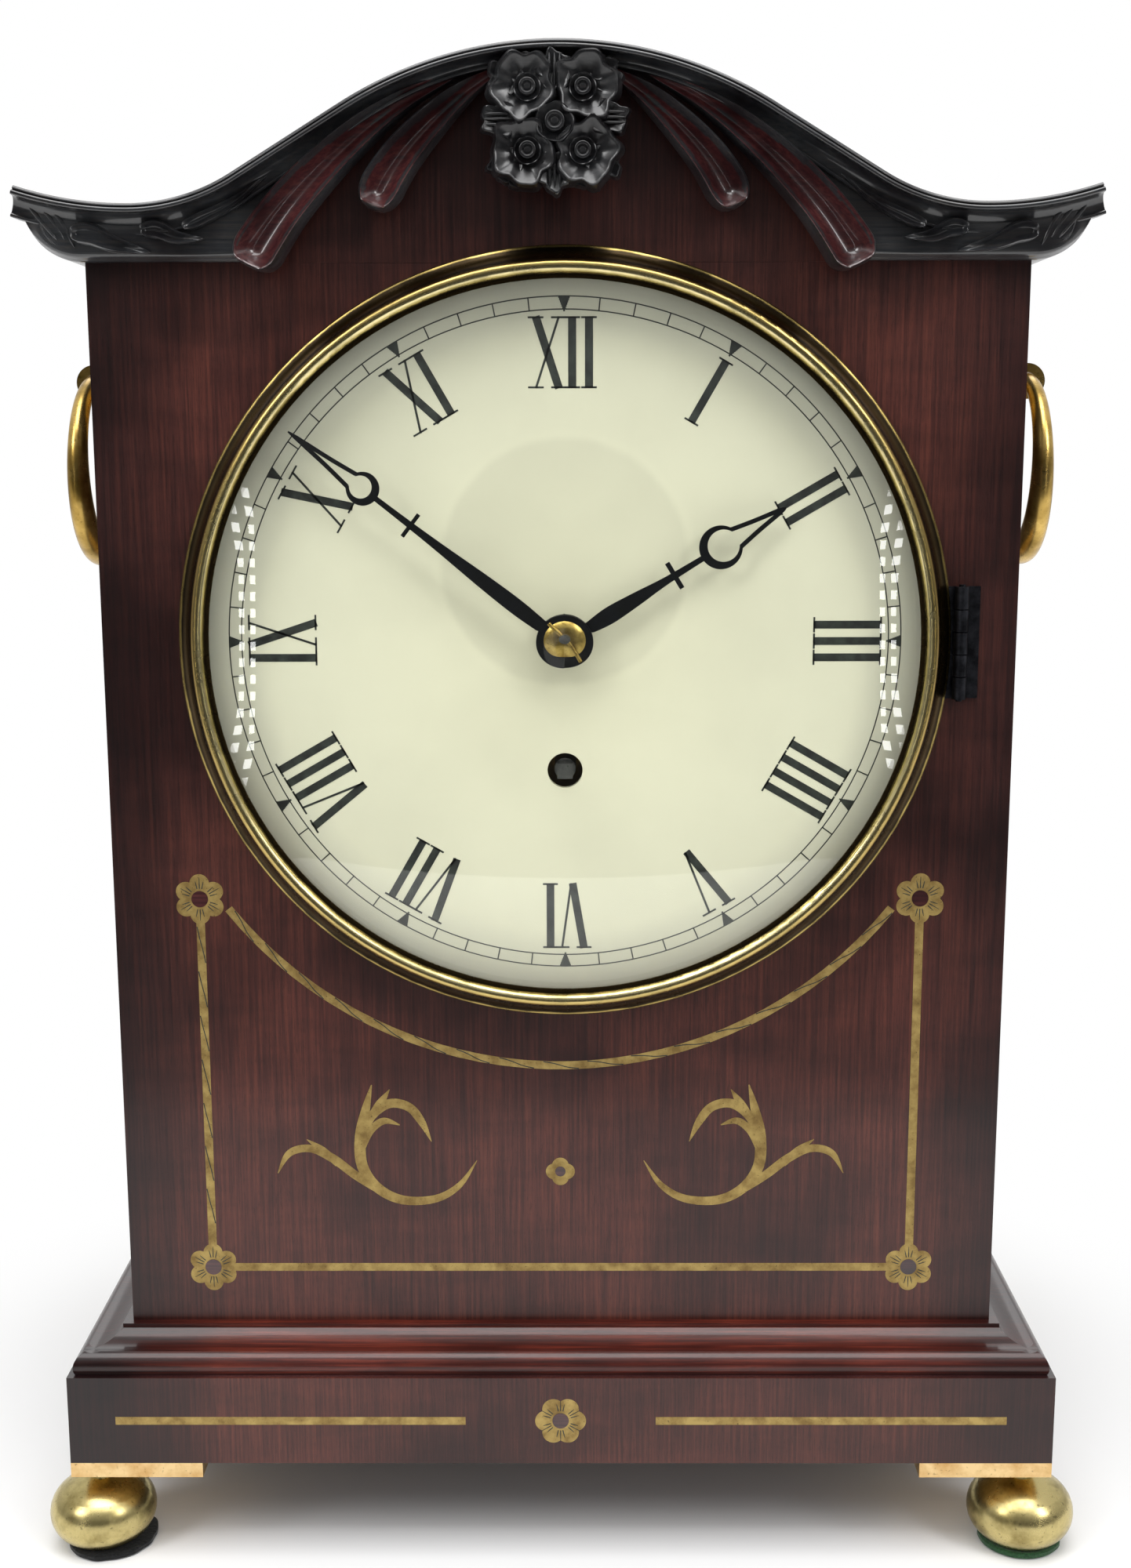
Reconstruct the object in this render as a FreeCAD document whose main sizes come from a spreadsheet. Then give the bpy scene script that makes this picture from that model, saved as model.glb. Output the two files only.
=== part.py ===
import FreeCAD, Part
import Sketcher
import math
import os

# Bracket clock with a spring-and-fusee timepiece movement, in millimetres.
# X is to the right, Y to the back and Z up. The origin is on the table, under the middle of the case.

# Driving sizes. Each is one cell of the sheet "Sizes".
SIZES = {
    # Clearances
    "fit_gap": 0.3,             # between pieces that only lie beside each other
    "run_gap": 0.05,            # radial clearance of a shaft in its hole
    # Case
    "case_margin": 23.4,        # front beside the dial
    "case_deep": 160.0,
    "eaves_drop": 0.8,          # eaves below the top of the dial
    "wall_thick": 12.0,
    "veneer_thick": 1.0,
    # Feet
    "pad_thick": 1.8,
    "baize_radius": 12.0,
    "felt_radius": 13.0,
    "felt_shift": 2.2,          # the newer felt pad sits a little inward
    "ball_radius": 15.35,
    "ball_half": 11.0,          # half height of the full ball
    "ball_side": 8.6,           # radius of its rounded sides
    "ball_seat": 8.0,           # ball centre above its flat underside
    "neck_radius": 3.7,
    "neck_high": 4.6,
    "foot_side_inset": 6.0,     # foot centre inside the plinth's side faces
    "foot_inset": 11.0,         # and inside its front and back
    "corner_plate_side": 38.0,
    "corner_plate_thick": 4.4,
    # Plinth and base moulding
    "plinth_proud": 16.0,
    "plinth_high": 26.3,
    "plinth_wall": 32.0,
    "moulding_high": 10.1,
    "moulding_foot_inset": 2.0,
    "moulding_top_proud": 2.5,
    "torus_high": 6.0,
    "torus_radius": 4.2,
    "torus_lean": 2.5,
    "cove_radius": 9.0,
    "fillet_high": 1.3,
    # Roof and pediment outline
    "roof_thick": 9.0,
    "crest_rise": 53.8,         # crest of the roof above the eaves
    "crest_radius": 108.0,
    "sweep_radius": 52.0,
    "sweep_rise": 13.9,         # lowest point of the sweep above the eaves
    "sweep_place": 110.7,       # and its distance from the middle
    "wing_radius": 95.0,
    "wing_reach": 14.6,         # wing tip beyond the side wall
    "ovolo_radius": 15.0,
    "ovolo_rise": 13.2,
    # Carved pediment
    "strip_thick": 6.0,
    "cornice_thick": 12.5,
    "cornice_high": 4.5,
    "strip_foot_place": 86.0,
    "strip_neck_place": 14.0,
    "strip_neck_rise": 24.0,
    "strip_radius": 150.0,
    "lobe_thick": 5.0,
    "scoop_deep": 2.4,
    "patera_rise": 33.6,
    "patera_corner": 16.2,
    "patera_petal": 7.2,
    "patera_thick": 4.0,
    "patera_boss": 11.5,
    "patera_boss_thick": 2.0,
    "stud_radius": 2.9,
    "stud_high": 1.8,
    "stud_place": 7.2,
    "stud_spread": 8.0,
    # Brass inlay
    "flower_corner": 5.5,
    "flower_petal": 2.77,
    "flower_inset": 24.0,       # flower centres inside the edges of the front
    "flower_gap": 110.0,        # between the upper and lower flowers
    "lower_flower_rise": 16.4,
    "string_wide": 2.4,
    "festoon_start": 8.0,       # its ends inside the flowers' centres
    "festoon_fall": 2.8,        # and below them
    "festoon_sag": 46.0,
    "quatrefoil_corner": 3.3,
    "quatrefoil_petal": 2.4,
    "quatrefoil_rise": 45.7,
    "plinth_flower_corner": 6.0,
    "plinth_flower_petal": 3.2,
    "line_start": 27.2,
    "line_end": 127.5,
    # Dial and glazed bezel
    "dial_rise": 198.4,         # dial centre above the foot of the front board
    "dial_shift": 1.6,          # and to the right of the middle of the case
    "dial_radius": 101.6,
    "dial_thick": 2.0,
    "dial_lip": 3.0,
    "dial_overlap": 2.1,
    "centre_hole_radius": 5.0,
    "winding_hole_radius": 4.9,
    "bezel_overhang": 3.6,      # bezel beyond the dial
    "bezel_thick": 7.2,
    "bezel_edge": 1.8,
    "bezel_cove": 4.1,
    "bead_radius": 1.76,
    "bead_wide": 3.5,
    "lip_wide": 1.4,
    "glass_margin": 6.6,        # edge of the glass inside the bezel's
    "glass_thick": 2.0,
    "glass_rise": 11.0,
    "glass_edge": 5.6,          # glass rim in front of the case
    # Bezel hinge
    "hinge_reach": 2.4,         # pin beyond the bezel
    "hinge_out": 3.0,
    "hinge_high": 30.6,
    "knuckle_radius": 1.9,
    "hinge_pin_radius": 0.9,
    "hinge_leaf_wide": 4.6,
    "hinge_leaf_thick": 1.2,
    # Hands
    "hand_thick": 0.8,
    "hour_hand_out": 3.2,       # hand backs in front of the dial
    "minute_hand_out": 6.0,
    "minute_length": 93.0,
    "hour_length": 70.0,
    "hub_radius": 7.8,
    "minute_angle": 307.7,
    "hour_angle": 58.6,
    "collet_radius": 5.7,
    "collet_thick": 1.6,
    "taper_pin_radius": 0.55,
    "taper_pin_length": 14.0,
    "taper_pin_angle": 38.0,
    # Movement plates
    "plate_wide": 132.0,
    "plate_foot": 86.0,         # foot of the plates below the dial centre
    "plate_head": 76.0,
    "plate_thick": 3.0,
    "plate_space": 50.0,
    "plate_chamfer": 8.0,
    "dial_foot_length": 16.0,
    "dial_foot_radius": 2.5,
    "dial_foot_place": 52.0,
    "pillar_radius": 4.0,
    "pillar_inset": 6.5,
    "seat_thick": 10.0,
    # Arbors
    "arbor_radius": 1.6,
    "slim_radius": 1.0,         # third and escape arbors, thinner than their pinions
    "pivot_radius": 0.7,
    "stud_pin_radius": 0.55,
    "centre_radius": 1.5,
    "winding_radius": 3.0,
    "winding_square": 4.3,
    "winding_drop": 36.0,
    "third_across": 8.56,
    "third_rise": 23.51,
    "escape_rise": 42.0,
    "pallet_rise": 63.2,
    "barrel_across": 40.0,
    "barrel_drop": 60.0,
    # Wheels
    "wheel_thick": 1.6,
    "great_thick": 2.5,
    "pinion_long": 5.0,
    "escape_radius": 15.0,
    "escape_depth": 3.0,
    # Barrel and fusee
    "barrel_rim": 1.2,
    "barrel_long": 35.0,
    "fusee_large": 22.0,
    "fusee_small": 12.0,
    "fusee_long": 35.0,
    "groove_deep": 1.3,
    "cord_radius": 0.8,
    # Motion work
    "cannon_pipe": 2.6,
    "hour_pipe": 3.9,
    "stud_across": 15.27,
    # Pallets, crutch and pendulum
    "pallet_gap": 1.2,
    "pallet_thick": 4.0,
    "crutch_long": 60.0,
    "crutch_thick": 1.6,
    "pendulum_back": 14.0,      # pendulum behind the back plate
    "pendulum_long": 200.0,     # pallet arbor to the middle of the bob
    "spring_thick": 0.3,
    "rod_radius": 2.0,
    "bob_radius": 24.0,
    "bob_thick": 12.0,
    "nut_radius": 5.0,
    "nut_high": 5.0,
    "cock_wide": 36.0,
    "cock_thick": 3.0,
    # Side frets and handles
    "window_wide": 70.0,
    "window_rise": 84.0,
    "window_high": 90.0,
    "arch_radius": 36.0,
    "fret_thick": 1.2,
    "fret_inset": 3.0,
    "silk_thick": 0.5,
    "scale_pitch": 15.0,
    "scale_hole": 9.0,
    "handle_drop": 28.4,        # ring pins below the eaves
    "handle_out": 18.5,
    "ring_radius": 26.0,
    "ring_top": 2.4,
    "ring_foot": 4.0,
    "boss_radius": 17.0,
    "boss_thick": 3.5,
    "lug_radius": 5.4,
    "lug_wide": 4.4,
    # Rear door
    "door_high": 278.2,
    "rail_wide": 26.0,
    "door_glass_thick": 3.0,
    "door_rebate": 3.6,
    "door_knuckle_radius": 2.2,
    "door_knuckle_high": 36.0,
    "door_leaf_wide": 9.0,
    "door_leaf_thick": 1.2,
    "door_hinge_place": 92.0,
    "latch_inset": 13.0,
    "latch_rise": 139.0,
    "latch_radius": 2.6,
    "knob_radius": 7.0,
    "knob_out": 11.0,
    "tongue_long": 16.5,
    "tongue_thick": 3.0,
    "tongue_half": 3.0,
    "mortise_deep": 5.0,
}

# Tooth and leaf counts of the train and of the motion work.
GREAT_TEETH = 96
CENTRE_LEAVES = 8
CENTRE_TEETH = 84
THIRD_LEAVES = 7
THIRD_TEETH = 78
ESCAPE_LEAVES = 7
ESCAPE_TEETH = 30
MOTION_TEETH = 36
MINUTE_LEAVES = 6
HOUR_TEETH = 72
FUSEE_GROOVES = 9

doc = FreeCAD.newDocument("bracket_clock")
sheet = doc.addObject("Spreadsheet::Sheet", "Sizes")


class Size:
    """A size as a number and as the expression of sheet cells that drives it."""

    def __init__(self, value, text):
        self.value = value
        self.text = text

    def __neg__(self):
        return Size(-self.value, f"(-1 * {self.text})")

    def __add__(self, other):
        other = as_size(other)
        return Size(self.value + other.value, f"({self.text} + {other.text})")

    def __sub__(self, other):
        other = as_size(other)
        return Size(self.value - other.value, f"({self.text} - {other.text})")

    def __mul__(self, other):
        other = as_size(other)
        return Size(self.value * other.value, f"({self.text} * {other.text})")

    def __truediv__(self, other):
        other = as_size(other)
        return Size(self.value / other.value, f"({self.text} / {other.text})")

    __radd__ = __add__
    __rmul__ = __mul__


def as_size(number):
    if isinstance(number, Size):
        return number
    return Size(float(number), f"({float(number):.9f})")


def root_of(size):
    return Size(math.sqrt(size.value), f"sqrt({size.text})")


class Cells:
    """The sheet's cells by name, such as size.case_wide."""


size = Cells()
for row, (alias, number) in enumerate(SIZES.items(), start=1):
    sheet.set(f"A{row}", alias)
    sheet.set(f"B{row}", str(number))
    sheet.setAlias(f"B{row}", alias)
    setattr(size, alias, Size(float(number), f"Sizes.{alias}"))
doc.recompute()

finished = []


# ---------------------------------------------------------------- building blocks

def bind(thing, name, amount):
    thing.setExpression(name, as_size(amount).text)


def finish(thing, label):
    """Mark an object as a sub-part: its label names the file that it is written to."""
    thing.Label = label
    finished.append(thing)
    return thing


def place(thing, x=0, y=0, z=0):
    bind(thing, "Placement.Base.x", x)
    bind(thing, "Placement.Base.y", y)
    bind(thing, "Placement.Base.z", z)
    return thing


def turn_hand(thing, angle):
    """Turn clockwise about the Y axis, as the front of the dial shows it."""
    start = FreeCAD.Rotation(FreeCAD.Vector(0, 1, 0), angle.value)
    thing.Placement = FreeCAD.Placement(thing.Placement.Base, start)
    bind(thing, "Placement.Rotation.Angle", angle)
    return thing


def box(x0, x1, y0, y1, z0, z1):
    made = doc.addObject("Part::Box", "Block")
    bind(made, "Length", as_size(x1) - x0)
    bind(made, "Width", as_size(y1) - y0)
    bind(made, "Height", as_size(z1) - z0)
    return place(made, x0, y0, z0)


TURNS = {
    "x": FreeCAD.Rotation(FreeCAD.Vector(0, 1, 0), 90),
    "y": FreeCAD.Rotation(FreeCAD.Vector(1, 0, 0), -90),
    "z": FreeCAD.Rotation(),
}


def rod(axis, x, y, z, radius, length):
    """Cylinder along an axis, from its end at x, y, z towards the plus side."""
    made = doc.addObject("Part::Cylinder", "Rod")
    made.Placement = FreeCAD.Placement(FreeCAD.Vector(), TURNS[axis])
    bind(made, "Radius", radius)
    bind(made, "Height", length)
    return place(made, x, y, z)


def cone(axis, x, y, z, radius, end_radius, length):
    made = doc.addObject("Part::Cone", "Taper")
    made.Placement = FreeCAD.Placement(FreeCAD.Vector(), TURNS[axis])
    bind(made, "Radius1", radius)
    bind(made, "Radius2", end_radius)
    bind(made, "Height", length)
    return place(made, x, y, z)


def join(*pieces):
    made = doc.addObject("Part::MultiFuse", "Join")
    made.Shapes = list(pieces)
    return made


def group(*pieces):
    """Pieces that stay separate solids of one sub-part."""
    made = doc.addObject("Part::Compound", "Group")
    made.Links = list(pieces)
    return made


def cut(base, *tools):
    made = doc.addObject("Part::Cut", "Cut")
    made.Base = base
    made.Tool = tools[0] if len(tools) == 1 else group(*tools)
    return made


def common(first, second):
    made = doc.addObject("Part::Common", "Common")
    made.Base = first
    made.Tool = second
    return made


def coded(shape, label, x=0, y=0, z=0):
    """A solid that no feature fits, such as a toothed wheel, set where it belongs."""
    made = doc.addObject("Part::Feature", label)
    made.Shape = shape
    return place(made, x, y, z)


# ---------------------------------------------------------------- sketches

def sketch_on(body, plane, lift=0):
    """Empty sketch on one of the body's own origin planes, lifted along its normal."""
    origin_plane = [face for face in body.Origin.OriginFeatures if face.Role == plane][0]
    made = body.newObject("Sketcher::SketchObject", "Outline")
    made.AttachmentSupport = [(origin_plane, "")]
    made.MapMode = "FlatFace"
    bind(made, "AttachmentOffset.Base.z", lift)
    return made


def hold(sketch, kind, *wanted):
    """Add a constraint whose amount follows the sheet."""
    amount = as_size(wanted[-1])
    number = sketch.addConstraint(Sketcher.Constraint(kind, *wanted[:-1], amount.value))
    sketch.setExpression(f"Constraints[{number}]", amount.text)


def arc_through(start, end, radius):
    """The arc under a half circle from start to end: anticlockwise for a radius over 0."""
    chord = end - start
    middle = (start + end) * 0.5
    across = FreeCAD.Vector(-chord.y, chord.x, 0).normalize()
    height = math.sqrt(max(radius ** 2 - (chord.Length / 2) ** 2, 0.0))
    centre = middle + across * math.copysign(height, radius)
    first, last = (start, end) if radius > 0 else (end, start)
    ring = Part.Circle(centre, FreeCAD.Vector(0, 0, 1), abs(radius))
    angles = [math.atan2(point.y - centre.y, point.x - centre.x) for point in (first, last)]
    return Part.ArcOfCircle(ring, angles[0], angles[1])


def draw(sketch, corners):
    """Closed outline. A corner is (x, y), or (x, y, radius) where an arc leaves it."""
    corners = [tuple(as_size(amount) for amount in corner) for corner in corners]
    points = [FreeCAD.Vector(corner[0].value, corner[1].value, 0) for corner in corners]
    first = sketch.GeometryCount
    ends = []
    for number, corner in enumerate(corners):
        start = points[number]
        end = points[(number + 1) % len(points)]
        if len(corner) == 3:
            sketch.addGeometry(arc_through(start, end, corner[2].value), False)
            ends.append((1, 2) if corner[2].value > 0 else (2, 1))
        else:
            sketch.addGeometry(Part.LineSegment(start, end), False)
            ends.append((1, 2))
    for number, corner in enumerate(corners):
        after = (number + 1) % len(corners)
        edge = first + number
        joint = ("Coincident", edge, ends[number][1], first + after, ends[after][0])
        sketch.addConstraint(Sketcher.Constraint(*joint))
        hold(sketch, "DistanceX", edge, ends[number][0], corner[0])
        hold(sketch, "DistanceY", edge, ends[number][0], corner[1])
        if len(corner) == 3:
            reach = corner[2] if corner[2].value > 0 else -corner[2]
            hold(sketch, "Radius", edge, reach)


def draw_circle(sketch, x, y, radius):
    x, y, radius = as_size(x), as_size(y), as_size(radius)
    centre = FreeCAD.Vector(x.value, y.value, 0)
    ring = Part.Circle(centre, FreeCAD.Vector(0, 0, 1), radius.value)
    edge = sketch.addGeometry(ring, False)
    hold(sketch, "DistanceX", edge, 3, x)
    hold(sketch, "DistanceY", edge, 3, y)
    hold(sketch, "Radius", edge, radius)


def new_body(label="Body"):
    return doc.addObject("PartDesign::Body", label)


def slab(plane, low, high, outlines, circles=()):
    """Body padded across one origin plane, from low to high along that plane's world axis."""
    body = new_body()
    low, high = as_size(low), as_size(high)
    lift = -high if plane == "XZ_Plane" else low
    sketch = sketch_on(body, plane, lift)
    for corners in outlines:
        draw(sketch, corners)
    for x, y, radius in circles:
        draw_circle(sketch, x, y, radius)
    made = body.newObject("PartDesign::Pad", "Pad")
    made.Profile = sketch
    bind(made, "Length", high - low)
    body.Tip = made
    return body


def turned(plane, corners, x=0, y=0, z=0):
    """Body turned about Z from an outline of (radius, z), or about Y from (y, radius)."""
    body = new_body()
    sketch = sketch_on(body, plane)
    draw(sketch, corners)
    made = body.newObject("PartDesign::Revolution", "Turning")
    made.Profile = sketch
    made.ReferenceAxis = (sketch, ["V_Axis" if plane == "XZ_Plane" else "H_Axis"])
    made.Angle = 360
    body.Tip = made
    return place(body, x, y, z)


def mirrored(half):
    """A right half outline, drawn anticlockwise, and its mirror image about X = 0."""
    half = [tuple(as_size(amount) for amount in corner) for corner in half]
    left = []
    for number in range(len(half) - 1, -1, -1):
        corner = (-half[number][0], half[number][1])
        arc = half[number - 1][2:] if number > 0 else ()
        left.append(corner + arc)
    return half + left


def scalloped(count, corner_radius, petal_radius, x=0, z=0, turn=0.5):
    """Outline of round petals about a centre. The first corner is turn petals round from +X."""
    corners = []
    for number in range(count):
        angle = 2 * math.pi * (number + turn) / count
        across = corner_radius * math.cos(angle) + x
        up = corner_radius * math.sin(angle) + z
        corners.append((across, up, petal_radius))
    return corners


# ---------------------------------------------------------------- places that pieces share

half_wide = size.dial_radius + size.case_margin
half_deep = size.case_deep / 2
front_y = -half_deep
inner_x = half_wide - size.wall_thick
inner_y = half_deep - size.wall_thick
plinth_x = half_wide + size.plinth_proud
plinth_y = half_deep + size.plinth_proud
foot_x = plinth_x - size.foot_side_inset
foot_y = plinth_y - size.foot_inset

ball_z = size.pad_thick + size.ball_seat
neck_z = ball_z + size.ball_half
corner_plate_z = neck_z + size.neck_high
plinth_z = corner_plate_z + size.corner_plate_thick
moulding_z = plinth_z + size.plinth_high
case_z = moulding_z + size.moulding_high
dial_z = case_z + size.dial_rise
eaves_z = dial_z + size.dial_radius - size.eaves_drop

board_y = front_y + size.veneer_thick       # front of the front board
dial_y = board_y + size.dial_lip            # dial face
dial_back_y = dial_y + size.dial_thick
plate_y = dial_back_y + size.dial_foot_length
plate_in_y = plate_y + size.plate_thick     # inner face of the front plate
back_in_y = plate_in_y + size.plate_space   # inner face of the back plate
back_y = back_in_y + size.plate_thick
pendulum_y = back_y + size.pendulum_back

bezel_radius = size.dial_radius + size.bezel_overhang
glass_radius = bezel_radius - size.glass_margin
hole_radius = size.dial_radius - size.dial_overlap

dial_x = size.dial_shift
winding_z = dial_z - size.winding_drop
third_x = dial_x + size.third_across
third_z = dial_z + size.third_rise
escape_z = dial_z + size.escape_rise
pallet_z = dial_z + size.pallet_rise
barrel_x = dial_x - size.barrel_across
barrel_z = dial_z - size.barrel_drop
stud_x = dial_x + size.stud_across
stud_z = dial_z - size.stud_across


def length_of(across, rise):
    return root_of(across * across + rise * rise)


# Distances between arbors, and the modules that put the wheels in mesh at them.
barrel_apart = length_of(size.barrel_across, size.barrel_drop - size.winding_drop)
third_apart = length_of(size.third_across, size.third_rise)
escape_apart = length_of(size.third_across, size.escape_rise - size.third_rise)
stud_apart = length_of(size.stud_across, size.stud_across)
great_module = size.winding_drop * 2 / (GREAT_TEETH + CENTRE_LEAVES)
centre_module = third_apart * 2 / (CENTRE_TEETH + THIRD_LEAVES)
third_module = escape_apart * 2 / (THIRD_TEETH + ESCAPE_LEAVES)
motion_module = stud_apart / MOTION_TEETH
hour_module = stud_apart * 2 / (HOUR_TEETH + MINUTE_LEAVES)
fusee_rim = size.fusee_large + 1.5
barrel_radius = barrel_apart - fusee_rim - size.barrel_rim - size.fit_gap * 3

great_y = plate_in_y + 3.0                  # planes of the wheels between the plates
fusee_y = great_y + size.great_thick + 1.0
third_wheel_y = plate_in_y + 5.0
centre_wheel_y = back_in_y - 4.5
escape_wheel_y = back_in_y - 9.0
motion_y = plate_y - 4.0                    # and of those under the dial
hour_wheel_y = motion_y - 4.5

flower_x = half_wide - size.flower_inset
lower_flower_z = case_z + size.lower_flower_rise
upper_flower_z = lower_flower_z + size.flower_gap

roof_crest_z = eaves_z + size.crest_rise
crest_centre_z = roof_crest_z - size.crest_radius
sweep_low_z = eaves_z + size.sweep_rise
sweep_centre_z = sweep_low_z + size.sweep_radius
wing_x = half_wide + size.wing_reach


def tangent_direction():
    """Unit normal of the straight stretch that touches the crest and the sweep."""
    across = size.sweep_place
    rise = sweep_centre_z - crest_centre_z
    apart = across * across + rise * rise
    radii = size.crest_radius + size.sweep_radius
    slack = root_of(apart - radii * radii)
    normal_x = (across * radii - rise * slack) / apart
    normal_z = (rise * radii + across * slack) / apart
    return normal_x, normal_z


normal_x, normal_z = tangent_direction()


def crest_point(inset=0):
    reach = size.crest_radius - inset
    return reach * normal_x, crest_centre_z + reach * normal_z


def sweep_point(inset=0):
    reach = size.sweep_radius + inset
    return size.sweep_place - reach * normal_x, sweep_centre_z - reach * normal_z


def under_roof():
    """Right half of the line under the roof, from the eaves to the crest."""
    inset = size.roof_thick
    return [
        (size.sweep_place, eaves_z),
        (size.sweep_place, sweep_low_z - inset, -(size.sweep_radius + inset)),
        sweep_point(inset),
        crest_point(inset) + (size.crest_radius - inset,),
    ]


def over_roof():
    """Right half of the roof's outer line, from the eaves over the wing tip to the crest."""
    tip_fall = size.wing_radius * size.wing_radius
    tip_across = wing_x - size.sweep_place
    tip_z = sweep_low_z + size.wing_radius - root_of(tip_fall - tip_across * tip_across)
    return [
        (half_wide, eaves_z, size.ovolo_radius),
        (wing_x, eaves_z + size.ovolo_rise),
        (wing_x, tip_z, -size.wing_radius),
        (size.sweep_place, sweep_low_z, -size.sweep_radius),
        sweep_point(),
        crest_point() + (size.crest_radius,),
    ]


# ---------------------------------------------------------------- feet and base

def each_foot():
    return [(right * foot_x, back * foot_y, right, back) for right in (-1, 1) for back in (-1, 1)]


def make_foot_pads():
    """Three baize pads, and the felt one that replaced the fourth."""
    baize = []
    felt = []
    for x, y, right, back in each_foot():
        if right < 0 and back < 0:
            felt.append(rod("z", x + size.felt_shift, y, 0, size.felt_radius, size.pad_thick))
        else:
            baize.append(rod("z", x, y, 0, size.baize_radius, size.pad_thick))
    finish(group(*baize), "baize_pads")
    finish(felt[0], "felt_pad")


def make_ball_feet():
    """Turned, flattened balls, flat below, with a short neck under the corner plate."""
    wide, half = size.ball_radius, size.ball_half
    side = size.ball_side
    crown = (wide * wide + half * half - wide * side * 2) / ((half - side) * 2)
    share = crown / (crown - side)
    meet_x = (wide - side) * share
    meet_z = half - crown + (crown - half) * share
    drop = crown - half
    foot = root_of(crown * crown - (size.ball_seat + drop) * (size.ball_seat + drop))
    neck_z = root_of(crown * crown - size.neck_radius * size.neck_radius) - drop
    profile = [
        (0, -size.ball_seat),
        (foot, -size.ball_seat, crown),
        (meet_x, -meet_z, side),
        (meet_x, meet_z, crown),
        (size.neck_radius, neck_z),
        (size.neck_radius, corner_plate_z - ball_z),
        (0, corner_plate_z - ball_z),
    ]
    balls = [turned("XZ_Plane", profile, x, y, ball_z) for x, y, right, back in each_foot()]
    finish(group(*balls), "ball_feet")


def make_corner_plates():
    plates = []
    side = size.corner_plate_side
    for right in (-1, 1):
        for back in (-1, 1):
            x0 = plinth_x - side if right > 0 else -plinth_x
            y0 = plinth_y - side if back > 0 else -plinth_y
            plates.append(box(x0, x0 + side, y0, y0 + side, corner_plate_z, plinth_z))
    finish(group(*plates), "corner_plates")


def make_plinth():
    """Hollow plinth, open below; its front is faced with veneer."""
    face_y = -plinth_y + size.veneer_thick
    block = box(-plinth_x, plinth_x, face_y, plinth_y, plinth_z, moulding_z)
    hollow_x = plinth_x - size.plinth_wall
    hollow_y = plinth_y - size.plinth_wall
    hollow = box(-hollow_x, hollow_x, -hollow_y, hollow_y, plinth_z, moulding_z)
    finish(cut(block, hollow), "plinth_frame")


def moulding_profile(half, proud):
    """Section across the base moulding: a torus below, a cove and a fillet above."""
    foot = half + proud - size.moulding_foot_inset
    top = half + size.moulding_top_proud
    return mirrored([
        (foot, moulding_z, size.torus_radius),
        (foot - size.torus_lean, moulding_z + size.torus_high, -size.cove_radius),
        (top, case_z - size.fillet_high),
        (top, case_z),
    ])


def make_base_moulding():
    along = slab("XZ_Plane", -plinth_y, plinth_y, [moulding_profile(half_wide, size.plinth_proud)])
    across = slab("YZ_Plane", -plinth_x, plinth_x, [moulding_profile(half_deep, size.plinth_proud)])
    inside = box(-inner_x, inner_x, -inner_y, inner_y, moulding_z, case_z)
    finish(cut(common(along, across), inside), "base_moulding")
    floor = box(-inner_x, inner_x, -inner_y, inner_y, moulding_z, case_z)
    finish(floor, "floor_board")


# ---------------------------------------------------------------- case

def make_front_board():
    outline = mirrored([(half_wide, case_z), (half_wide, eaves_z)] + under_roof())
    hole = [(dial_x, dial_z, hole_radius)]
    board = slab("XZ_Plane", board_y, -inner_y, [outline], hole)
    seat = size.dial_radius + size.fit_gap * 2
    rebate = rod("y", dial_x, dial_y, dial_z, seat, -inner_y - dial_y)
    finish(cut(board, rebate), "front_board")


def window_outline(inset=0):
    half = size.window_wide / 2 - inset
    foot = case_z + size.window_rise + inset
    spring = foot + size.window_high - inset
    return mirrored([(half, foot), (half, spring, size.arch_radius - inset)])


def make_side_panels():
    for right, name in ((-1, "side_panel_left"), (1, "side_panel_right")):
        x0 = inner_x if right > 0 else -half_wide
        wall = [(-inner_y, case_z), (half_deep, case_z), (half_deep, eaves_z), (-inner_y, eaves_z)]
        panel = slab("YZ_Plane", x0, x0 + size.wall_thick, [wall, window_outline()])
        if right < 0:
            panel = cut(panel, latch_mortise())
        finish(panel, name)


def latch_mortise():
    """Slot in the left wall that the latch tongue turns into."""
    latch_z = case_z + size.latch_rise
    half = size.tongue_long * 0.85
    low_y = inner_y - size.tongue_thick - 1.6
    return box(-inner_x - size.mortise_deep, -inner_x, low_y, inner_y - 0.4,
               latch_z - half, latch_z + half)


def make_roof():
    inset = size.roof_thick
    outer = mirrored([(size.sweep_place, eaves_z)] + over_roof())
    left_sweep, left_crest = sweep_point(inset), crest_point(inset)
    inner = [
        (-size.sweep_place, sweep_low_z - inset, size.sweep_radius + inset),
        (-left_sweep[0], left_sweep[1]),
        (-left_crest[0], left_crest[1], -(size.crest_radius - inset)),
        left_crest,
        left_sweep + (size.sweep_radius + inset,),
        (size.sweep_place, sweep_low_z - inset),
    ]
    finish(slab("XZ_Plane", front_y, half_deep, [outer + inner]), "roof_board")


def make_rear_header():
    door_head = case_z + size.door_high + size.fit_gap
    outline = mirrored([(inner_x, door_head), (inner_x, eaves_z)] + under_roof())
    finish(slab("XZ_Plane", inner_y, half_deep, [outline]), "rear_header")


# ---------------------------------------------------------------- carved pediment

# Each drop: head corners, tail and the radii of its upper edge, lower edge and round head.
# Places are (from the middle, above the eaves).
OUTER_DROP = ((80.5, 2.6), (72.6, 1.6), (22.0, 48.6), 85.0, 246.0, 4.6)
INNER_DROP = ((49.3, 17.1), (41.2, 15.6), (13.0, 48.4), 51.0, 400.0, 4.8)
RIM_SHARE = 0.92            # face of a drop against its foot
SCOOP_SHARE = 0.68


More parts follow.
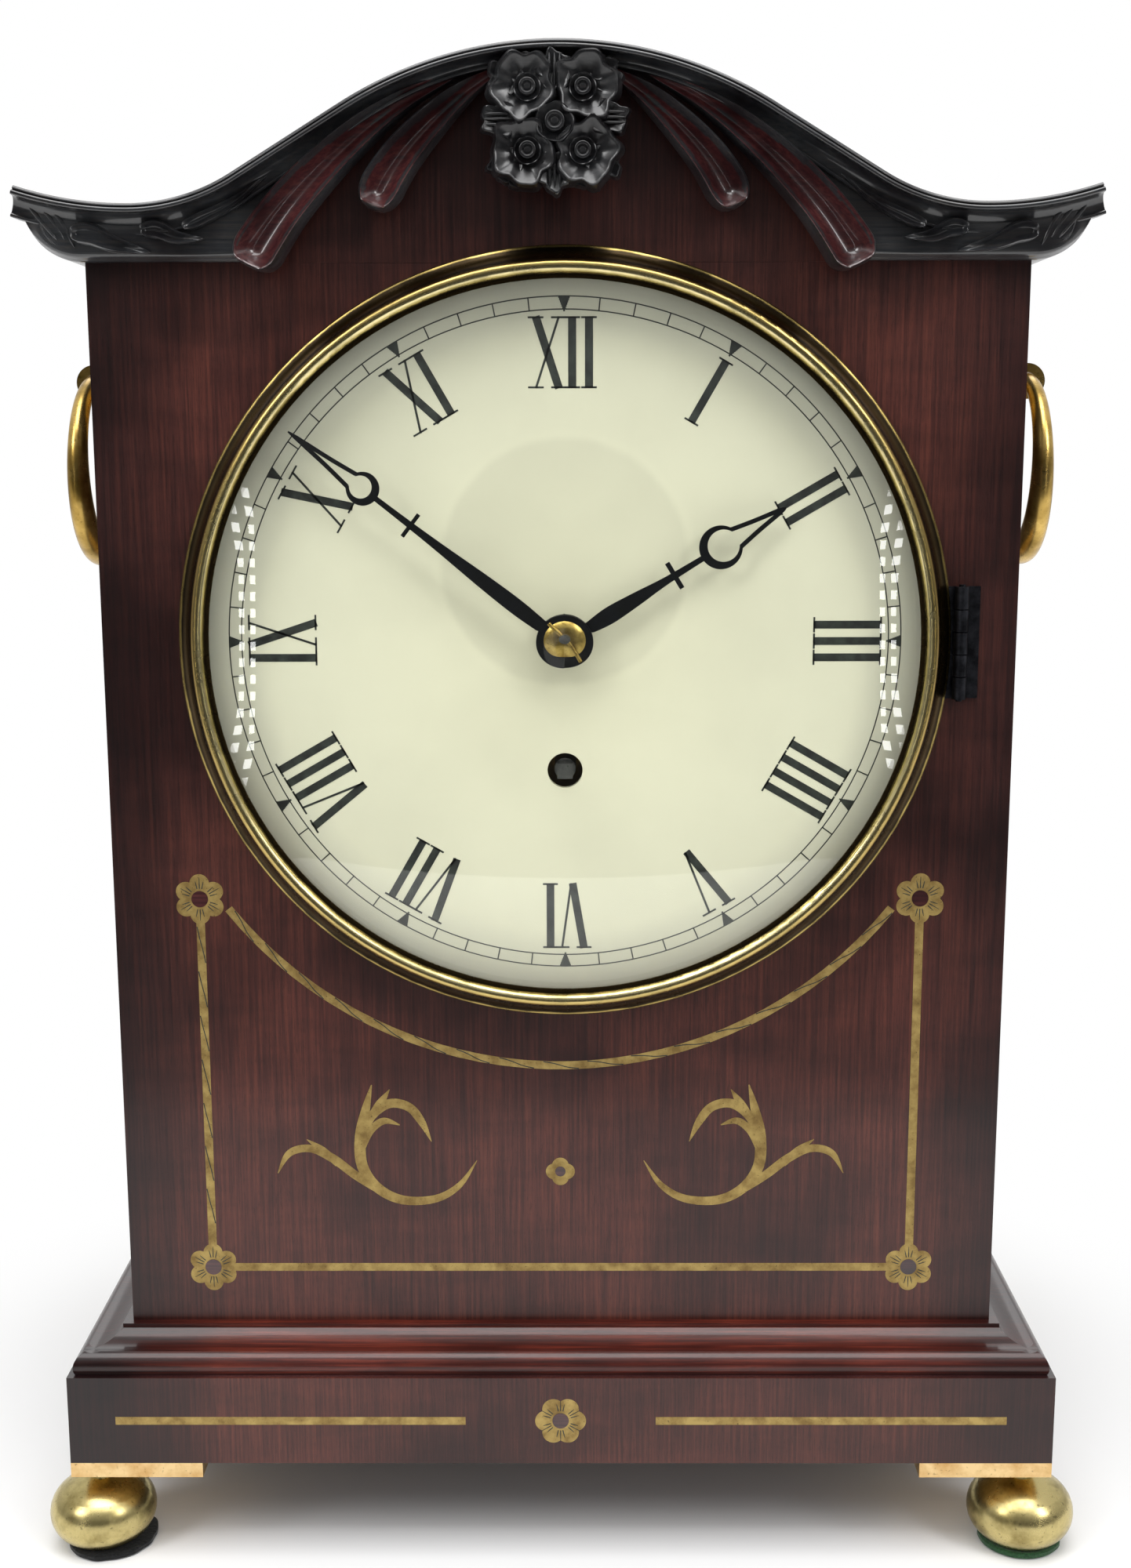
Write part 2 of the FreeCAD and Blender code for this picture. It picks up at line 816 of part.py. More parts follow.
def drop_outline(drop, side, share=1.0):
    """Outline of a carved drop; a share under 1 draws it in towards its head."""
    head, foot, tail, upper, lower, round_head = drop
    middle_x = head[0] * 0.5 + foot[0] * 0.35 + tail[0] * 0.15
    middle_z = head[1] * 0.5 + foot[1] * 0.35 + tail[1] * 0.15
    corners = []
    for (x, z), bend in ((foot, round_head), (head, upper), (tail, -lower)):
        across = (middle_x + (x - middle_x) * share) * side
        up = eaves_z + middle_z + (z - middle_z) * share
        corners.append((across, up, bend * share * side))
    return corners


def lofted(low, high, low_outline, high_outline):
    """Body ruled between two upright outlines, at Y = low and Y = high."""
    body = new_body()
    first = sketch_on(body, "XZ_Plane", -as_size(low))
    draw(first, low_outline)
    second = sketch_on(body, "XZ_Plane", -as_size(high))
    draw(second, high_outline)
    made = body.newObject("PartDesign::AdditiveLoft", "Loft")
    made.Profile = first
    made.Sections = [second]
    made.Ruled = True
    body.Tip = made
    return body


def make_drop(drop, side):
    """Raised drop with sloping flanks and a scooped face."""
    back = front_y - size.strip_thick
    face = back - size.lobe_thick
    raised = lofted(face, back, drop_outline(drop, side, RIM_SHARE), drop_outline(drop, side))
    floor = face + size.scoop_deep
    floor_outline = drop_outline(drop, side, SCOOP_SHARE * RIM_SHARE)
    scoop = lofted(face, floor, drop_outline(drop, side, SCOOP_SHARE), floor_outline)
    return cut(raised, scoop)


def make_pediment():
    """Carved front of the roof: cornice along its edge, ground strip and four drops."""
    inset = size.cornice_high
    band_outer = mirrored([(half_wide, eaves_z)] + over_roof()[1:])
    left_sweep, left_crest = sweep_point(inset), crest_point(inset)
    band_inner = [
        (-size.sweep_place, sweep_low_z - inset, size.sweep_radius + inset),
        (-left_sweep[0], left_sweep[1]),
        (-left_crest[0], left_crest[1], -(size.crest_radius - inset)),
        left_crest,
        left_sweep + (size.sweep_radius + inset,),
        (size.sweep_place, sweep_low_z - inset),
    ]
    cornice = slab("XZ_Plane", front_y - size.cornice_thick, front_y, [band_outer + band_inner])
    ground_foot = [
        (size.strip_neck_place, eaves_z + size.strip_neck_rise, size.strip_radius),
        (size.strip_foot_place, eaves_z),
    ]
    ground = mirrored(ground_foot + over_roof())
    strip = slab("XZ_Plane", front_y - size.strip_thick, front_y, [ground])
    drops = [make_drop(drop, side) for drop in (OUTER_DROP, INNER_DROP) for side in (-1, 1)]
    finish(join(cornice, strip, *drops), "pediment_carving")


def make_patera():
    """Carved rosette on the pediment: eight petals, a boss and five studs."""
    back = front_y - size.cornice_thick
    centre_z = eaves_z + size.patera_rise
    petals = scalloped(8, size.patera_corner, size.patera_petal, 0, centre_z)
    flower = slab("XZ_Plane", back - size.patera_thick, back, [petals])
    boss_y = back - size.patera_thick - size.patera_boss_thick
    boss = rod("y", 0, boss_y, centre_z, size.patera_boss, size.patera_boss_thick)
    studs = []
    for across, up in ((-1, -1), (-1, 1), (0, 0), (1, -1), (1, 1)):
        x = size.stud_place * across
        z = centre_z + size.stud_spread * up
        stud_y = boss_y - size.stud_high + size.patera_boss_thick * abs(across)
        studs.append(cone("y", x, stud_y, z, size.stud_radius * 0.6, size.stud_radius,
                          size.stud_high))
    finish(join(flower, boss, *studs), "patera")


# ---------------------------------------------------------------- veneer and brass inlay

def festoon_outline():
    """Band that hangs in an arc between the upper flowers."""
    span = flower_x - size.festoon_start
    sag = size.festoon_sag
    radius = (span * span + sag * sag) / (sag * 2)
    centre_z = upper_flower_z - size.festoon_fall - sag + radius
    sine = span / radius
    cosine = (radius - sag) / radius
    outer = radius + size.string_wide / 2
    inner = radius - size.string_wide / 2
    return [
        (-(outer * sine), centre_z - outer * cosine, outer),
        (outer * sine, centre_z - outer * cosine),
        (inner * sine, centre_z - inner * cosine, -inner),
        (-(inner * sine), centre_z - inner * cosine),
    ]


def rectangle(x0, x1, z0, z1):
    return [(x0, z0), (x1, z0), (x1, z1), (x0, z1)]


def make_inlay():
    """Brass let into the veneer, flush with it, and the veneer cut to take it."""
    half = size.string_wide / 2
    low_z = lower_flower_z
    pieces = []
    for side in (-1, 1):
        x = flower_x * side
        for z in (low_z, upper_flower_z):
            flower = scalloped(6, size.flower_corner, size.flower_petal, x, z, turn=0)
            pieces.append(slab("XZ_Plane", front_y, board_y, [flower]))
        string = rectangle(x - half, x + half, low_z, upper_flower_z)
        pieces.append(slab("XZ_Plane", front_y, board_y, [string]))
    line = rectangle(-flower_x, flower_x, low_z - half, low_z + half)
    pieces.append(slab("XZ_Plane", front_y, board_y, [line]))
    pieces.append(slab("XZ_Plane", front_y, board_y, [festoon_outline()]))
    border = join(*pieces)
    knot_z = case_z + size.quatrefoil_rise
    knot = scalloped(4, size.quatrefoil_corner, size.quatrefoil_petal, 0, knot_z)
    quatrefoil = slab("XZ_Plane", front_y, board_y, [knot])
    face_y = -plinth_y
    middle_z = plinth_z + size.plinth_high / 2
    bloom = scalloped(6, size.plinth_flower_corner, size.plinth_flower_petal, 0, middle_z)
    below = [slab("XZ_Plane", face_y, face_y + size.veneer_thick, [bloom])]
    for side in (-1, 1):
        start = size.line_start if side > 0 else -size.line_end
        end = size.line_end if side > 0 else -size.line_start
        stroke = rectangle(start, end, middle_z - half, middle_z + half)
        below.append(slab("XZ_Plane", face_y, face_y + size.veneer_thick, [stroke]))
    inlay = finish(group(border, quatrefoil, *below), "brass_inlay")

    outline = mirrored([(half_wide, case_z), (half_wide, eaves_z)] + under_roof())
    hole = [(dial_x, dial_z, hole_radius)]
    front = slab("XZ_Plane", front_y, board_y, [outline], hole)
    face = rectangle(-plinth_x, plinth_x, plinth_z, moulding_z)
    plinth_front = slab("XZ_Plane", face_y, face_y + size.veneer_thick, [face])
    finish(cut(group(front, plinth_front), inlay), "front_veneer")


# ---------------------------------------------------------------- dial, bezel and hands

def make_dial():
    plate = slab("XZ_Plane", dial_y, dial_back_y, [], [
        (dial_x, dial_z, size.dial_radius),
        (dial_x, dial_z, size.centre_hole_radius),
        (dial_x, winding_z, size.winding_hole_radius),
    ])
    finish(plate, "dial_plate")
    feet = []
    for right in (-1, 1):
        for up in (-1, 1):
            x = dial_x + size.dial_foot_place * right
            z = dial_z + size.dial_foot_place * up
            feet.append(rod("y", x, dial_back_y, z, size.dial_foot_radius, size.dial_foot_length))
    finish(group(*feet), "dial_feet")


def make_bezel():
    """Turned brass bezel: thin edge, cove, half-round bead and inner lip."""
    back = front_y - size.fit_gap
    cove_y = front_y - size.bezel_edge
    bead_y = front_y - size.bezel_thick
    bead_outer = bezel_radius - size.bezel_cove
    bead_inner = bead_outer - size.bead_wide
    lip_y = front_y - size.glass_edge - size.fit_gap * 2
    seat = glass_radius + size.fit_gap
    profile = [
        (back, seat),
        (back, bezel_radius),
        (cove_y, bezel_radius),
        (cove_y - size.fit_gap, bezel_radius - size.fit_gap, -(size.bezel_cove * 1.6)),
        (bead_y, bead_outer, size.bead_radius),
        (bead_y, bead_inner),
        (lip_y - size.fit_gap * 2, bead_inner - size.lip_wide),
        (lip_y, bead_inner - size.lip_wide),
        (lip_y, seat),
    ]
    finish(turned("YZ_Plane", profile, dial_x, 0, dial_z), "bezel_ring")


hinge_x = dial_x + bezel_radius + size.hinge_reach
hinge_y = front_y - size.hinge_out
hinge_foot = dial_z - size.hinge_high / 2


def make_bezel_hinge():
    """Leaf on the bezel's edge with two knuckles; plate on the case with three and the pin."""
    back = front_y - size.fit_gap
    top = hinge_foot + size.hinge_high
    knuckle_back = hinge_x - size.knuckle_radius * 0.4
    leaf = box(hinge_x - size.hinge_reach * 3, knuckle_back, front_y - size.bezel_edge, back,
               hinge_foot, top)
    barrels = hinge_knuckles((1, 3))
    bore_radius = size.hinge_pin_radius + size.run_gap
    bore = rod("z", hinge_x, hinge_y, hinge_foot, bore_radius, size.hinge_high)
    ring = rod("y", dial_x, front_y - size.bezel_thick, dial_z, bezel_radius, size.bezel_thick)
    moving = cut(join(leaf, *barrels), *hinge_gaps((0, 2, 4)), bore, ring)
    finish(moving, "bezel_hinge_leaf")

    plate_x = hinge_x + size.knuckle_radius * 0.4
    plate = box(plate_x, plate_x + size.hinge_leaf_wide, front_y - size.hinge_leaf_thick,
                front_y, hinge_foot, top)
    bridge = box(hinge_x, hinge_x + size.knuckle_radius, hinge_y, back, hinge_foot, top)
    fixed = join(plate, bridge, *hinge_knuckles((0, 2, 4)))
    pin_out = size.fit_gap * 2
    pin = rod("z", hinge_x, hinge_y, hinge_foot - pin_out, size.hinge_pin_radius,
              size.hinge_high + pin_out * 2)
    finish(join(cut(fixed, *hinge_gaps((1, 3))), pin), "bezel_hinge_plate")


def hinge_knuckles(which):
    step = size.hinge_high / 5
    return [rod("z", hinge_x, hinge_y, hinge_foot + step * number, size.knuckle_radius, step)
            for number in which]


def hinge_gaps(which):
    """Room for the other leaf's knuckles."""
    step = size.hinge_high / 5
    gap = size.fit_gap / 2
    reach = size.knuckle_radius + size.fit_gap
    return [box(hinge_x - reach, hinge_x + reach, hinge_y - reach, hinge_y + reach,
                hinge_foot + step * number - gap, hinge_foot + step * (number + 1) + gap)
            for number in which]


def make_glass():
    """Domed glass, held behind the bezel's inner lip."""
    rim = glass_radius
    rise = size.glass_rise
    dome = (rim * rim + rise * rise) / (rise * 2)
    edge = front_y - size.glass_edge
    profile = [
        (edge - rise, 0),
        (edge - rise + size.glass_thick, 0, -dome),
        (edge + size.glass_thick, rim),
        (edge, rim, dome),
    ]
    finish(turned("YZ_Plane", profile, dial_x, 0, dial_z), "bezel_glass")


def flat_hand(low_y, high_y, blade, ring_height, ring_outer, ring_inner, tip, bore):
    """A pierced hand that points up: hub, blade, cross bar, open ring and tip."""
    pieces = [
        slab("XZ_Plane", low_y, high_y, [], [(0, 0, size.hub_radius), (0, 0, bore)]),
        slab("XZ_Plane", low_y, high_y, [mirrored(blade)]),
        slab("XZ_Plane", low_y, high_y, [], [(0, ring_height, ring_outer), (0, ring_height, ring_inner)]),
        slab("XZ_Plane", low_y, high_y, [mirrored(tip)]),
    ]
    return join(*pieces)


def make_hands():
    thick = size.hand_thick
    hour_y = dial_y - size.hour_hand_out
    minute_y = dial_y - size.minute_hand_out
    hub = size.hub_radius
    hour_bore = size.hour_pipe + size.run_gap
    minute_bore = size.cannon_pipe + size.run_gap
    long = size.minute_length
    blade = [(1.2, hub * 0.9), (1.6, long * 0.23), (0.9, long * 0.56), (3.65, long * 0.575),
             (3.65, long * 0.59), (0.7, long * 0.605), (0.6, long * 0.70)]
    tip = [(0.9, long * 0.775), (0.3, long)]
    hand = flat_hand(-thick, 0, blade, long * 0.738, 4.2, 3.0, tip, minute_bore)
    finish(turn_hand(place(hand, dial_x, minute_y, dial_z), size.minute_angle), "minute_hand")
    short = size.hour_length
    blade = [(1.6, hub * 0.9), (2.0, short * 0.3), (1.3, short * 0.48), (3.85, short * 0.5),
             (3.85, short * 0.52), (0.9, short * 0.545), (0.8, short * 0.645)]
    tip = [(1.2, short * 0.785), (0.3, short)]
    hand = flat_hand(-thick, 0, blade, short * 0.715, 5.5, 4.0, tip, hour_bore)
    finish(turn_hand(place(hand, dial_x, hour_y, dial_z), size.hour_angle), "hour_hand")


def make_hand_collet():
    """Domed brass collet on the centre arbor, with the taper pin that holds it."""
    back = dial_y - size.minute_hand_out - size.hand_thick
    front = back - size.collet_thick
    bore = size.centre_radius + size.run_gap
    dome = turned("YZ_Plane", [
        (back, bore),
        (back, size.collet_radius),
        (back - 0.4, size.collet_radius, 6.0),
        (front, bore + 0.8),
        (front, bore),
    ], dial_x, 0, dial_z)
    finish(group(dome, taper_pin(size.taper_pin_radius)), "hand_collet")


def taper_pin(radius):
    """Pin across the end of the centre arbor, leaning down to the right."""
    y = dial_y - size.minute_hand_out - size.hand_thick - size.collet_thick - size.taper_pin_radius
    length = size.taper_pin_length
    lean = math.radians(size.taper_pin_angle.value)
    made = doc.addObject("Part::Cylinder", "Pin")
    bind(made, "Radius", radius)
    bind(made, "Height", length)
    turn = FreeCAD.Rotation(FreeCAD.Vector(0, 1, 0), 180 - size.taper_pin_angle.value)
    made.Placement = FreeCAD.Placement(FreeCAD.Vector(), turn)
    half = length / 2
    return place(made, dial_x - half * math.sin(lean), y, dial_z + half * math.cos(lean))


# ---------------------------------------------------------------- toothed wheels

def toothed_face(teeth, tip, root, tip_half, root_half, first, leans=0.0):
    """Flat outline of straight-flanked teeth about the origin, across the Y axis.

    The middle of the first tooth is at angle first, anticlockwise from +X.
    leans moves the tips round by that angle, as on an escape wheel.
    """
    points = []
    for number in range(teeth):
        middle = first + 2 * math.pi * number / teeth
        for radius, half, lean in ((root, -root_half, 0.0), (tip, -tip_half, leans),
                                   (tip, tip_half, leans), (root, root_half, 0.0)):
            angle = middle + half / radius + lean
            points.append(FreeCAD.Vector(radius * math.cos(angle), 0, radius * math.sin(angle)))
    points.append(points[0])
    return Part.Face(Part.makePolygon(points))


def wheel_solid(face, y0, thick, bore, rim=0.0, hub=0.0, arm=0.0):
    """Wheel blank with its bore, and four crossings where a rim is given."""
    along = FreeCAD.Vector(0, 1, 0)
    start = FreeCAD.Vector(0, y0, 0)
    blank = face.extrude(along * thick)
    blank.translate(start)
    blank = blank.cut(Part.makeCylinder(bore, thick, start, along))
    if rim:
        opening = Part.makeCylinder(rim, thick, start, along)
        opening = opening.cut(Part.makeCylinder(hub, thick, start, along))
        for turn in (45, 135):
            spoke = Part.makeBox(2 * rim + 2, thick, arm, FreeCAD.Vector(-rim - 1, y0, -arm / 2))
            spoke.rotate(FreeCAD.Vector(), along, turn)
            opening = opening.cut(spoke)
        blank = blank.cut(opening)
    return blank


def wheel_teeth(teeth, module, first):
    pitch = module * teeth / 2
    return toothed_face(teeth, pitch + 1.15 * module, pitch - 1.45 * module,
                        0.28 * module, 0.98 * module, first)


def pinion_leaves(leaves, module, first):
    pitch = module * leaves / 2
    return toothed_face(leaves, pitch + 0.72 * module, pitch - 1.5 * module,
                        0.36 * module, 0.62 * module, first)


def facing(teeth, direction):
    """First-tooth angle that puts a gap, not a tooth, in this direction."""
    return direction + math.pi / teeth


def pinion_arbor(face, y0, length, start, end, radius):
    """Steel pinion cut from the same bar as its arbor."""
    along = FreeCAD.Vector(0, 1, 0)
    leaves = face.extrude(along * length)
    leaves.translate(FreeCAD.Vector(0, y0, 0))
    bar = Part.makeCylinder(radius, end - start, FreeCAD.Vector(0, start, 0), along)
    return leaves.fuse(bar)


def with_pivots(bar, start, end, radius, long):
    along = FreeCAD.Vector(0, 1, 0)
    front = Part.makeCylinder(radius, long, FreeCAD.Vector(0, start - long, 0), along)
    rear = Part.makeCylinder(radius, long, FreeCAD.Vector(0, end, 0), along)
    return bar.fuse([front, rear])


third_angle = math.atan2(size.third_rise.value, size.third_across.value)
escape_angle = math.atan2((size.escape_rise - size.third_rise).value, -size.third_across.value)
stud_angle = math.radians(-45)


def make_great_wheel():
    face = wheel_teeth(GREAT_TEETH, great_module.value, math.pi / 2)
    solid = wheel_solid(face, great_y.value, size.great_thick.value,
                        size.winding_radius.value + size.run_gap.value)
    finish(coded(solid, "great_wheel", dial_x, 0, winding_z), "great_wheel")


def make_centre_arbor():
    """Centre arbor with its pinion; its front end carries the hands through the dial."""
    thin = size.centre_radius.value
    shoulder = plate_in_y.value + size.fit_gap.value
    rear = back_in_y.value - size.fit_gap.value
    tip_y = (dial_y - size.minute_hand_out - size.hand_thick - size.collet_thick
             - size.taper_pin_radius * 2 - 0.8).value
    face = pinion_leaves(CENTRE_LEAVES, great_module.value,
                         facing(CENTRE_LEAVES, -math.pi / 2))
    bar = pinion_arbor(face, shoulder, size.pinion_long.value + 1.5, shoulder, rear,
                       size.arbor_radius.value)
    along = FreeCAD.Vector(0, 1, 0)
    nose = Part.makeCylinder(thin, shoulder - tip_y, FreeCAD.Vector(0, tip_y, 0), along)
    pivot = Part.makeCylinder(size.pivot_radius.value, size.plate_thick.value,
                              FreeCAD.Vector(0, rear, 0), along)
    made = coded(bar.fuse([nose, pivot]), "centre_bar", dial_x, 0, dial_z)
    hole = taper_pin(size.taper_pin_radius + size.run_gap)
    finish(cut(made, hole), "centre_arbor")


def crossed_wheel(teeth, module, first, y0, bore):
    pitch = module * teeth / 2
    face = wheel_teeth(teeth, module, first)
    return wheel_solid(face, y0, size.wheel_thick.value, bore, pitch - 1.45 * module - 1.9,
                       5.5, 2.6)


def make_centre_wheel():
    bore = size.arbor_radius.value + size.run_gap.value
    solid = crossed_wheel(CENTRE_TEETH, centre_module.value, third_angle,
                          centre_wheel_y.value, bore)
    finish(coded(solid, "centre_wheel", dial_x, 0, dial_z), "centre_wheel")


def make_third_wheel():
    """Third wheel riveted to its arbor."""
    start = plate_in_y.value + size.fit_gap.value
    end = back_in_y.value - size.fit_gap.value
    face = pinion_leaves(THIRD_LEAVES, centre_module.value,
                         facing(THIRD_LEAVES, third_angle + math.pi))
    bar = pinion_arbor(face, centre_wheel_y.value - 1.7, size.pinion_long.value, start,
                       end, size.slim_radius.value)
    bar = with_pivots(bar, start, end, size.pivot_radius.value, size.plate_thick.value)
    wheel = crossed_wheel(THIRD_TEETH, third_module.value, escape_angle,
                          third_wheel_y.value, size.slim_radius.value)
    finish(coded(bar.fuse(wheel), "third_wheel", third_x, 0, third_z), "third_wheel")


def make_escape_wheel():
    start = plate_in_y.value + size.fit_gap.value
    end = back_in_y.value - size.fit_gap.value
    face = pinion_leaves(ESCAPE_LEAVES, third_module.value,
                         facing(ESCAPE_LEAVES, escape_angle + math.pi))
    bar = pinion_arbor(face, third_wheel_y.value - 1.7, size.pinion_long.value, start,
                       end, size.slim_radius.value)
    bar = with_pivots(bar, start, end, size.pivot_radius.value, size.plate_thick.value)
    tip = size.escape_radius.value
    root = tip - size.escape_depth.value
    teeth = toothed_face(ESCAPE_TEETH, tip, root, 0.12, 0.75, math.pi / 2, 0.06)
    wheel = wheel_solid(teeth, escape_wheel_y.value, size.wheel_thick.value,
                        size.slim_radius.value, root - 1.6, 4.0, 2.0)
    finish(coded(bar.fuse(wheel), "escape_wheel", dial_x, 0, escape_z), "escape_wheel")


def make_motion_work():
    """Cannon wheel and pipe, minute wheel with its pinion, and hour wheel with its pipe."""
    along = FreeCAD.Vector(0, 1, 0)
    thick = size.wheel_thick.value
    module = motion_module.value
    cannon_y = motion_y.value
    bore = size.centre_radius.value + size.run_gap.value
    pipe_front = (dial_y - size.minute_hand_out - size.hand_thick).value
    face = wheel_teeth(MOTION_TEETH, module, stud_angle)
    wheel = wheel_solid(face, cannon_y, thick, bore)
    pipe = Part.makeCylinder(size.cannon_pipe.value, cannon_y - pipe_front,
                             FreeCAD.Vector(0, pipe_front, 0), along)
    pipe = pipe.cut(Part.makeCylinder(bore, cannon_y - pipe_front,
                                      FreeCAD.Vector(0, pipe_front, 0), along))
    finish(coded(wheel.fuse(pipe), "cannon_pinion", dial_x, 0, dial_z), "cannon_pinion")

    stud_bore = size.stud_pin_radius.value + size.run_gap.value
    face = wheel_teeth(MOTION_TEETH, module, facing(MOTION_TEETH, stud_angle + math.pi))
    wheel = wheel_solid(face, cannon_y, thick, stud_bore)
    leaves = pinion_leaves(MINUTE_LEAVES, hour_module.value,
                           facing(MINUTE_LEAVES, stud_angle + math.pi))
    low = hour_wheel_y.value - 1.0
    leaves = leaves.extrude(along * (cannon_y - low))
    leaves.translate(FreeCAD.Vector(0, low, 0))
    reamer = Part.makeCylinder(stud_bore, cannon_y + thick - low, FreeCAD.Vector(0, low, 0), along)
    solid = wheel.fuse(leaves).cut(reamer)
    finish(coded(solid, "minute_wheel", stud_x, 0, stud_z), "minute_wheel")

    face = wheel_teeth(HOUR_TEETH, hour_module.value, stud_angle)
    inner = size.cannon_pipe.value + size.run_gap.value
    wheel = wheel_solid(face, hour_wheel_y.value, thick, inner)
    pipe_front = (dial_y - size.hour_hand_out - size.hand_thick).value
    long = hour_wheel_y.value - pipe_front
    pipe = Part.makeCylinder(size.hour_pipe.value, long, FreeCAD.Vector(0, pipe_front, 0), along)
    pipe = pipe.cut(Part.makeCylinder(inner, long, FreeCAD.Vector(0, pipe_front, 0), along))
    finish(coded(wheel.fuse(pipe), "hour_wheel", dial_x, 0, dial_z), "hour_wheel")


# ---------------------------------------------------------------- movement frame

def plate_outline():
    half = size.plate_wide / 2
    foot = dial_z - size.plate_foot
    head = dial_z + size.plate_head
    chamfer = size.plate_chamfer
    return [
        (dial_x - half, foot),
        (dial_x + half, foot),
        (dial_x + half, head - chamfer),
        (dial_x + half - chamfer, head),
        (dial_x - half + chamfer, head),
        (dial_x - half, head - chamfer),
    ]


def pivot_hole(x, z, radius):
    return (x, z, radius + size.run_gap)


def make_plates():
    """Front and back plates with a running hole for each arbor, and the four pillars."""
    thin = size.pivot_radius
    front_holes = [
        pivot_hole(dial_x, dial_z, size.centre_radius),
        pivot_hole(dial_x, winding_z, size.winding_radius),
        pivot_hole(third_x, third_z, thin),
        pivot_hole(dial_x, escape_z, thin),
        pivot_hole(dial_x, pallet_z, thin),
        pivot_hole(barrel_x, barrel_z, size.winding_radius),
    ]
    plate = slab("XZ_Plane", plate_y, plate_in_y, [plate_outline()], front_holes)
    stud_front = hour_wheel_y - 1.6
    stud = rod("y", stud_x, stud_front, stud_z, size.stud_pin_radius, plate_y - stud_front)
    finish(join(plate, stud), "front_movement_plate")
    rear_holes = [
        pivot_hole(dial_x, dial_z, thin),
        pivot_hole(dial_x, winding_z, size.arbor_radius),
        pivot_hole(third_x, third_z, thin),
        pivot_hole(dial_x, escape_z, thin),
        (dial_x, pallet_z, size.arbor_radius * 2),
        pivot_hole(barrel_x, barrel_z, size.winding_radius),
    ]
    plate = slab("XZ_Plane", back_in_y, back_y, [plate_outline()], rear_holes)
    finish(plate, "back_movement_plate")
    pillars = []
    across = size.plate_wide / 2 - size.pillar_inset
    for x in (dial_x - across, dial_x + across):
        for z in (dial_z - size.plate_foot + size.pillar_inset,
                  dial_z + size.plate_head - size.pillar_inset * 1.6):
            pillars.append(rod("y", x, plate_in_y, z, size.pillar_radius, size.plate_space))
    finish(group(*pillars), "plate_pillars")


def make_seat_board():
    top = dial_z - size.plate_foot
    board = box(-inner_x, inner_x, plate_y - 4.0, back_y + 2.0, top - size.seat_thick, top)
    finish(board, "seat_board")


def make_barrel():
    """Spring barrel with rims, closed, and its arbor with the set-up ratchet behind the plate."""
    y0 = fusee_y + 1.0
    y1 = y0 + size.barrel_long
    rim = barrel_radius + size.barrel_rim
    drum = barrel_radius
    bore = size.winding_radius + size.run_gap
    profile = [
        (y0, bore), (y0, rim), (y0 + 1.5, rim), (y0 + 1.5, drum),
        (y1 - 1.5, drum), (y1 - 1.5, rim), (y1, rim), (y1, bore),
    ]
    finish(turned("YZ_Plane", profile, barrel_x, 0, barrel_z), "spring_barrel")
    along = FreeCAD.Vector(0, 1, 0)
    start = plate_y.value
    end = back_y.value + 3.4
    bar = Part.makeCylinder(size.winding_radius.value, end - start,
                            FreeCAD.Vector(0, start, 0), along)
    ratchet = toothed_face(18, 8.0, 6.6, 0.25, 0.9, 0.0, 0.12).extrude(along * 2.0)
    ratchet.translate(FreeCAD.Vector(0, back_y.value + 0.3, 0))
    finish(coded(bar.fuse(ratchet), "barrel_arbor", barrel_x, 0, barrel_z), "barrel_arbor")


def make_fusee():
    """Grooved fusee, wide end to the front, on the winding arbor."""
    y0 = fusee_y
    step = size.fusee_long / FUSEE_GROOVES
    bore = size.winding_radius + size.run_gap
    fall = (size.fusee_large - size.fusee_small) / FUSEE_GROOVES
    profile = [(y0, bore), (y0, fusee_rim), (y0 + 1.2, fusee_rim)]
    for number in range(FUSEE_GROOVES):
        crest = size.fusee_large - fall * number
        start = y0 + 1.2 + step * number
        profile.append((start, crest))
        profile.append((start + step * 0.45, crest - size.groove_deep - fall * 0.5))
    end = y0 + 1.2 + size.fusee_long
    profile.append((end, size.fusee_small))
    profile.append((end, bore))
    finish(turned("YZ_Plane", profile, dial_x, 0, winding_z), "fusee")


def make_winding_arbor():
    """Arbor of the fusee, squared at the front for the key."""
    half = size.winding_square / 2
    square_front = dial_y - 1.4
    square_back = dial_back_y + 1.0
    square = box(dial_x - half, dial_x + half, square_front, square_back,
                 winding_z - half, winding_z + half)
    back_end = fusee_y + 1.2 + size.fusee_long + 1.0
    bar = rod("y", dial_x, square_back, winding_z, size.winding_radius, back_end - square_back)
    tail = rod("y", dial_x, back_end, winding_z, size.arbor_radius, back_y - back_end)
    finish(join(square, bar, tail), "winding_arbor")


def make_fusee_line():
    """Straight run of gut between the barrel and the fusee, touching both at a tangent."""
    dx = size.barrel_across.value
    dz = (winding_z - barrel_z).value
    apart = math.hypot(dx, dz)
    clear = size.cord_radius.value + size.fit_gap.value
    step = size.fusee_long.value / FUSEE_GROOVES
    fall = (size.fusee_large.value - size.fusee_small.value) / FUSEE_GROOVES
    turn_number = 4
    at_y = fusee_y.value + 1.2 + step * (turn_number + 0.45)
    groove = size.fusee_large.value - fall * (turn_number + 0.5)
    barrel_reach = barrel_radius.value + clear
    fusee_reach = groove + clear
    heading = math.atan2(dz, dx)
    lean = math.acos((barrel_reach - fusee_reach) / apart)
    normal = FreeCAD.Vector(math.cos(heading + lean), 0, math.sin(heading + lean))
    start = FreeCAD.Vector(barrel_x.value, at_y, barrel_z.value) + normal * barrel_reach
    end = FreeCAD.Vector(dial_x.value, at_y, winding_z.value) + normal * fusee_reach
    run = end - start
    solid = Part.makeCylinder(size.cord_radius.value, run.Length, FreeCAD.Vector(), run)
    made = doc.addObject("Part::Feature", "fusee_line")
    made.Shape = solid
    made.Placement = FreeCAD.Placement(start, FreeCAD.Rotation())
    finish(made, "fusee_line")


# ---------------------------------------------------------------- escapement and pendulum

